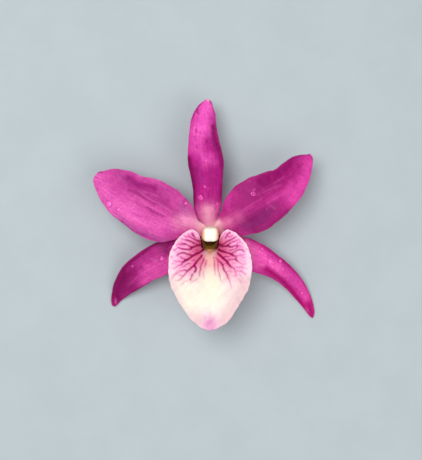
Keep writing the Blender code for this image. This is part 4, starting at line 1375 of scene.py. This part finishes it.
def columnMaterial():
    material, tree, skin, place = startMaterial("column_tissue")
    swatch = {key: colour(*value) for key, value in column["colours"].items()}
    grain = placeGrain(tree, place, column["finish"])
    cloud = placeGroup(tree, mottling, Place=place, Patches=column["clouds"])
    paintwork = blendColour(tree, mark(tree, "blush"), swatch["body"], swatch["blush"])
    # Dark is painted shadow deep in the hollow under the cap.
    for key in ("foot", "toe", "olive", "dark"):
        paintwork = blendColour(tree, mark(tree, key), paintwork, swatch[key])
    duller = tinted(tree, paintwork, column["cloudTint"])
    paintwork = blendColour(tree, cloud["Patch"], paintwork, duller)
    finishSkin(tree, skin, paintwork, grain, column["finish"])
    return material


def makeCap(material):
    turn = np.linspace(0, 2 * np.pi, cap["sides"], endpoint=False)
    halfX, halfY, halfZ = cap["half"]
    rings, peach, furrow = [], [], []
    # From the top down the outside, round the rim, and up the hollow inside.
    outside = [(a, 1.0, 0) for a in np.linspace(3, 96, cap["outerRings"])]
    inside = [(a, cap["hollow"], 1) for a in np.linspace(88, 4, cap["innerRings"])]
    for angle, scale, hollow in outside + inside:
        polar = math.radians(angle)
        wide = float(squarish(math.sin(polar), 0.72)) * scale
        high = float(squarish(math.cos(polar), 0.55)) * scale
        x = wide * halfX * squarish(np.cos(turn), cap["square"])
        y = wide * halfY * squarish(np.sin(turn), cap["square"])
        split = np.exp(-((x / cap["furrowWidth"]) ** 2)) * (1 - hollow)
        z = halfZ * high + 0.05 - cap["furrowDepth"] * split * smooth(y, 1.2, -1.0)
        rings.append(leanWithColumn(np.stack([x, y, z], -1)))
        # Peach is the cap's own warm tint, with painted shade on its flanks and its top edge.
        peach.append(np.maximum(smooth(np.abs(x), 1.05, 2.05), 0.4 * smooth(y, 1.4, 1.95)))
        furrow.append(split)
    piece = ringBody("anther_cap_shell", np.array(rings), {"peach": peach, "furrow": furrow})
    dress(piece, material, "anther_cap", "anther_cap")


def capMaterial():
    material, tree, skin, place = startMaterial("cap_wax")
    swatch = {key: colour(*value) for key, value in cap["colours"].items()}
    grain = placeGrain(tree, place, cap["finish"])
    cloud = placeGroup(tree, mottling, Place=place, Patches=cap["clouds"])
    # Peach adds painted shade on the flanks and top edge over the cap's own warm tint.
    paintwork = blendColour(tree, mark(tree, "peach"), swatch["body"], swatch["peach"])
    # The furrow is painted a little darker: painted shade.
    paintwork = blendColour(tree, mark(tree, "furrow", 0.35), paintwork, swatch["furrow"])
    warmer = blendColour(tree, 0.12, paintwork, swatch["peach"])
    paintwork = blendColour(tree, cloud["Patch"], paintwork, warmer)
    finishSkin(tree, skin, paintwork, grain, cap["finish"])
    return material


def makePollinia(material):
    halfX, halfY, halfZ = pollinia["half"]
    turn = np.linspace(0, 2 * np.pi, pollinia["sides"], endpoint=False)
    rings = []
    for polar in np.radians(np.linspace(5, 175, pollinia["rings"])):
        x = halfX * math.sin(polar) * np.cos(turn)
        plump = np.abs(np.sin(np.pi * pollinia["masses"] * (x / halfX + 1) / 2)) ** 0.5
        y = halfY * math.sin(polar) * np.sin(turn) * (0.72 + 0.28 * plump)
        z = halfZ * math.cos(polar) * (0.8 + 0.2 * plump)
        rings.append(leanWithColumn(np.stack([x, y, z + pollinia["lift"]], -1)))
    dress(ringBody("pollinia_masses", np.array(rings), {}), material, "pollinia", "pollinia")


def polliniaMaterial():
    material, tree, skin, place = startMaterial("pollinia_wax")
    swatch = {key: colour(*value) for key, value in pollinia["colours"].items()}
    grain = placeGrain(tree, place, pollinia["finish"])
    cloud = placeGroup(tree, mottling, Place=place, Patches=pollinia["clouds"])
    paintwork = blendColour(tree, cloud["Patch"], swatch["body"], swatch["light"])
    finishSkin(tree, skin, paintwork, grain, pollinia["finish"])
    return material


print("making the column, the cap and the pollinia")
makeColumn(columnMaterial())
makeCap(capMaterial())
makePollinia(polliniaMaterial())


# Ovary and pedicel

pedicel = {
    # x, y, z and radius from the ovary to the cut end.
    "path": [
        (0.0, -0.55, -4.55, 1.1), (0.0, 0.0, -5.45, 1.05), (0.0, 1.1, -7.0, 1.15),
        (0.0, 2.9, -8.6, 1.15), (0.0, 5.8, -9.75, 1.05), (-0.15, 9.5, -10.1, 0.85),
        (-0.5, 14.0, -10.2, 0.75), (-1.0, 19.0, -10.2, 0.75), (-1.6, 24.0, -10.15, 0.8),
        (-2.3, 29.5, -10.05, 0.9),
    ],
    "rings": 150,
    "sides": 48,
    "ribs": 6,
    "ribHeight": 0.07,  # share of the radius
    "finish": {"cells": 3600.0, "glints": 0.3, "rough": 0.45, "bump": 0.3, "shine": 0.4, "glow": 0.05},
    "clouds": 900.0,
    "colours": {
        "body": (150, 92, 70), "flush": (176, 84, 110), "green": (150, 158, 88), "red": (140, 60, 60),
        "pith": (214, 216, 170),
    },
}


def makePedicel(material):
    sides = pedicel["sides"]
    turn = np.linspace(0, 2 * np.pi, sides, endpoint=False)
    places = unevenSteps(pedicel["rings"], 0.2)
    line = curveThrough(pedicel["path"], places)
    way = np.gradient(line[:, :3], axis=0)
    way /= np.linalg.norm(way, axis=1, keepdims=True)
    side = np.cross(way, np.cross([1.0, 0.0, 0.0], way))
    side /= np.linalg.norm(side, axis=1, keepdims=True)
    up = np.cross(side, way)
    rings, flush, green, pith = [], [], [], []

    def addRing(k, scale, shift, cut):
        t, radius = places[k], line[k, 3]
        ribs = 1 + pedicel["ribHeight"] * smooth(t, 0.55, 0.1) * np.cos(pedicel["ribs"] * turn)
        ribs = ribs + 0.02 * softWaves(turn * 2, np.full(sides, t * 60), 2.5, 61)
        reach = (radius * ribs * scale)[:, None]
        outward = side[k] * np.cos(turn)[:, None], up[k] * np.sin(turn)[:, None]
        ring = line[k, :3] + outward[0] * reach + outward[1] * reach
        ring = ring + way[k] * shift
        ring[:, 2] = np.maximum(ring[:, 2], -flowerPlace[2])
        rings.append(ring)
        flush.append(np.full(sides, smooth(t, 0.35, 0.0)))
        green.append(np.full(sides, smooth(t, 0.45, 0.95)))
        pith.append(np.full(sides, cut))

    for scale in (0.3, 0.7, 0.92):
        addRing(0, scale, -0.2 * (1 - scale), 0.0)
    for k in range(len(places)):
        addRing(k, 1.0, 0.0, 0.0)
    for scale, shift, cut in ((0.93, 0.05, 0.4), (0.8, 0.06, 1.0), (0.5, 0.03, 1.0), (0.15, -0.02, 1.0)):
        addRing(len(places) - 1, scale, shift, cut)
    piece = ringBody("pedicel_stalk", np.array(rings), {"flush": flush, "green": green, "pith": pith})
    dress(piece, material, "pedicel", "pedicel")


def pedicelMaterial():
    material, tree, skin, place = startMaterial("pedicel_skin")
    swatch = {key: colour(*value) for key, value in pedicel["colours"].items()}
    grain = placeGrain(tree, place, pedicel["finish"])
    cloud = placeGroup(tree, mottling, Place=place, Patches=pedicel["clouds"])
    paintwork = blendColour(tree, mark(tree, "flush"), swatch["body"], swatch["flush"])
    paintwork = blendColour(tree, mark(tree, "green"), paintwork, swatch["green"])
    redder = blendColour(tree, 0.35, paintwork, swatch["red"])
    paintwork = blendColour(tree, cloud["Patch"], paintwork, redder)
    paintwork = blendColour(tree, mark(tree, "pith"), paintwork, swatch["pith"])
    finishSkin(tree, skin, paintwork, grain, pedicel["finish"])
    return material


print("making the pedicel")
makePedicel(pedicelMaterial())


# Water drops

waterDrop = {
    "rings": 14,
    "sides": 40,
    "height": 0.52,  # share of the radius
    "sunk": 0.02,
    "footDepth": 0.06,
    "rough": 0.02,
    "bendsLight": 1.33,
}


def makeDrops(tepal, material):
    bodies = []
    seenX, seenY = seenFromAbove(tepal["front"])
    turn = np.linspace(0, 2 * np.pi, waterDrop["sides"], endpoint=False)[:, None]
    for x, y, radius in drops[tepal["node"]]:
        gap = np.hypot(seenX - x, seenY - y)
        spot = np.unravel_index(np.argmin(gap), gap.shape)
        foot, up = tepal["front"][spot], tepal["normal"][spot]
        side = np.cross(up, [0.0, 1.0, 0.0])
        side /= np.linalg.norm(side)
        outward = side * np.cos(turn) + np.cross(up, side) * np.sin(turn)
        rings = []
        for polar in np.radians(np.linspace(4, 86, waterDrop["rings"])):
            height = waterDrop["height"] * radius * math.cos(polar) - waterDrop["sunk"]
            rings.append(foot + radius * math.sin(polar) * outward + up * height)
        for share in (0.97, 0.6, 0.2):
            rings.append(foot + radius * share * outward - up * waterDrop["footDepth"])
        bodies.append(ringBody("drop", np.array(rings), {}))
    bm = bmesh.new()
    for body in bodies:
        bm.from_mesh(body.data)
        bpy.data.objects.remove(body)
    mesh = bpy.data.meshes.new("drops_on_" + tepal["node"])
    bm.to_mesh(mesh)
    bm.free()
    mesh.shade_smooth()
    piece = bpy.data.objects.new(mesh.name, mesh)
    bpy.context.scene.collection.objects.link(piece)
    dress(piece, material, tepal["slot"])


def waterMaterial():
    material, tree, skin, _ = startMaterial("water")
    skin.inputs["Base Color"].default_value = (1.0, 1.0, 1.0, 1.0)
    skin.inputs["Transmission Weight"].default_value = 1.0
    skin.inputs["Roughness"].default_value = waterDrop["rough"]
    skin.inputs["IOR"].default_value = waterDrop["bendsLight"]
    # Light falls through the drops onto the petal, so they throw no dark shadow.
    shadow = addNode(tree, "ShaderNodeLightPath").outputs["Is Shadow Ray"]
    tree.links.new(calc(tree, "SUBTRACT", 1.0, shadow), skin.inputs["Alpha"])
    return material


print("making the water drops")
water = waterMaterial()
for tepal in tepals:
    makeDrops(tepal, water)


# Floor, light and camera

def makeFloor():
    look = setting["floor"]
    bm = bmesh.new()
    bmesh.ops.create_grid(bm, x_segments=16, y_segments=16, size=look["size"] / 2)
    mesh = bpy.data.meshes.new("floor")
    bm.to_mesh(mesh)
    bm.free()
    floor = bpy.data.objects.new("floor", mesh)
    bpy.context.scene.collection.objects.link(floor)
    material, tree, skin, place = startMaterial("pale_floor")
    cloud = placeGroup(tree, mottling, Place=place, Patches=look["patches"])
    tone = colour(*look["colour"])
    darker = tuple(look["darker"] * c for c in tone[:3]) + (1.0,)
    tree.links.new(blendColour(tree, cloud["Patch"], tone, darker), skin.inputs["Base Color"])
    skin.inputs["Roughness"].default_value = look["rough"]
    mesh.materials.append(material)


def makeLight(name, look):
    light = bpy.data.lights.new(name, "AREA")
    light.shape = "DISK"
    light.size = look["size"] * mm
    light.energy = look["power"]
    lamp = bpy.data.objects.new(name, light)
    lamp.location = (Vector(look["place"]) + Vector(flowerPlace)) * mm
    lamp.rotation_mode = "QUATERNION"
    lamp.rotation_quaternion = (Vector(flowerPlace) * mm - lamp.location).to_track_quat("-Z", "Y")
    bpy.context.scene.collection.objects.link(lamp)


def makeCamera():
    data = bpy.data.cameras.new("camera")
    data.sensor_fit = "HORIZONTAL"
    data.sensor_width = 36.0
    data.lens = setting["camera"]["lens"]
    data.clip_start = 0.01
    camera = bpy.data.objects.new("camera", data)
    camera.location = (Vector(setting["camera"]["place"]) + Vector(flowerPlace)) * mm
    bpy.context.scene.collection.objects.link(camera)
    bpy.context.scene.camera = camera


def makeSky():
    world = bpy.data.worlds.new("sky")
    world.use_nodes = True
    sky = world.node_tree.nodes["Background"]
    sky.inputs["Color"].default_value = setting["sky"]["colour"]
    sky.inputs["Strength"].default_value = setting["sky"]["strength"]
    bpy.context.scene.world = world


print("making the floor, lights and camera")
makeFloor()
makeLight("key", setting["key"])
makeLight("fill", setting["fill"])
makeSky()
makeCamera()
bpy.context.scene.view_settings.view_transform = "Standard"
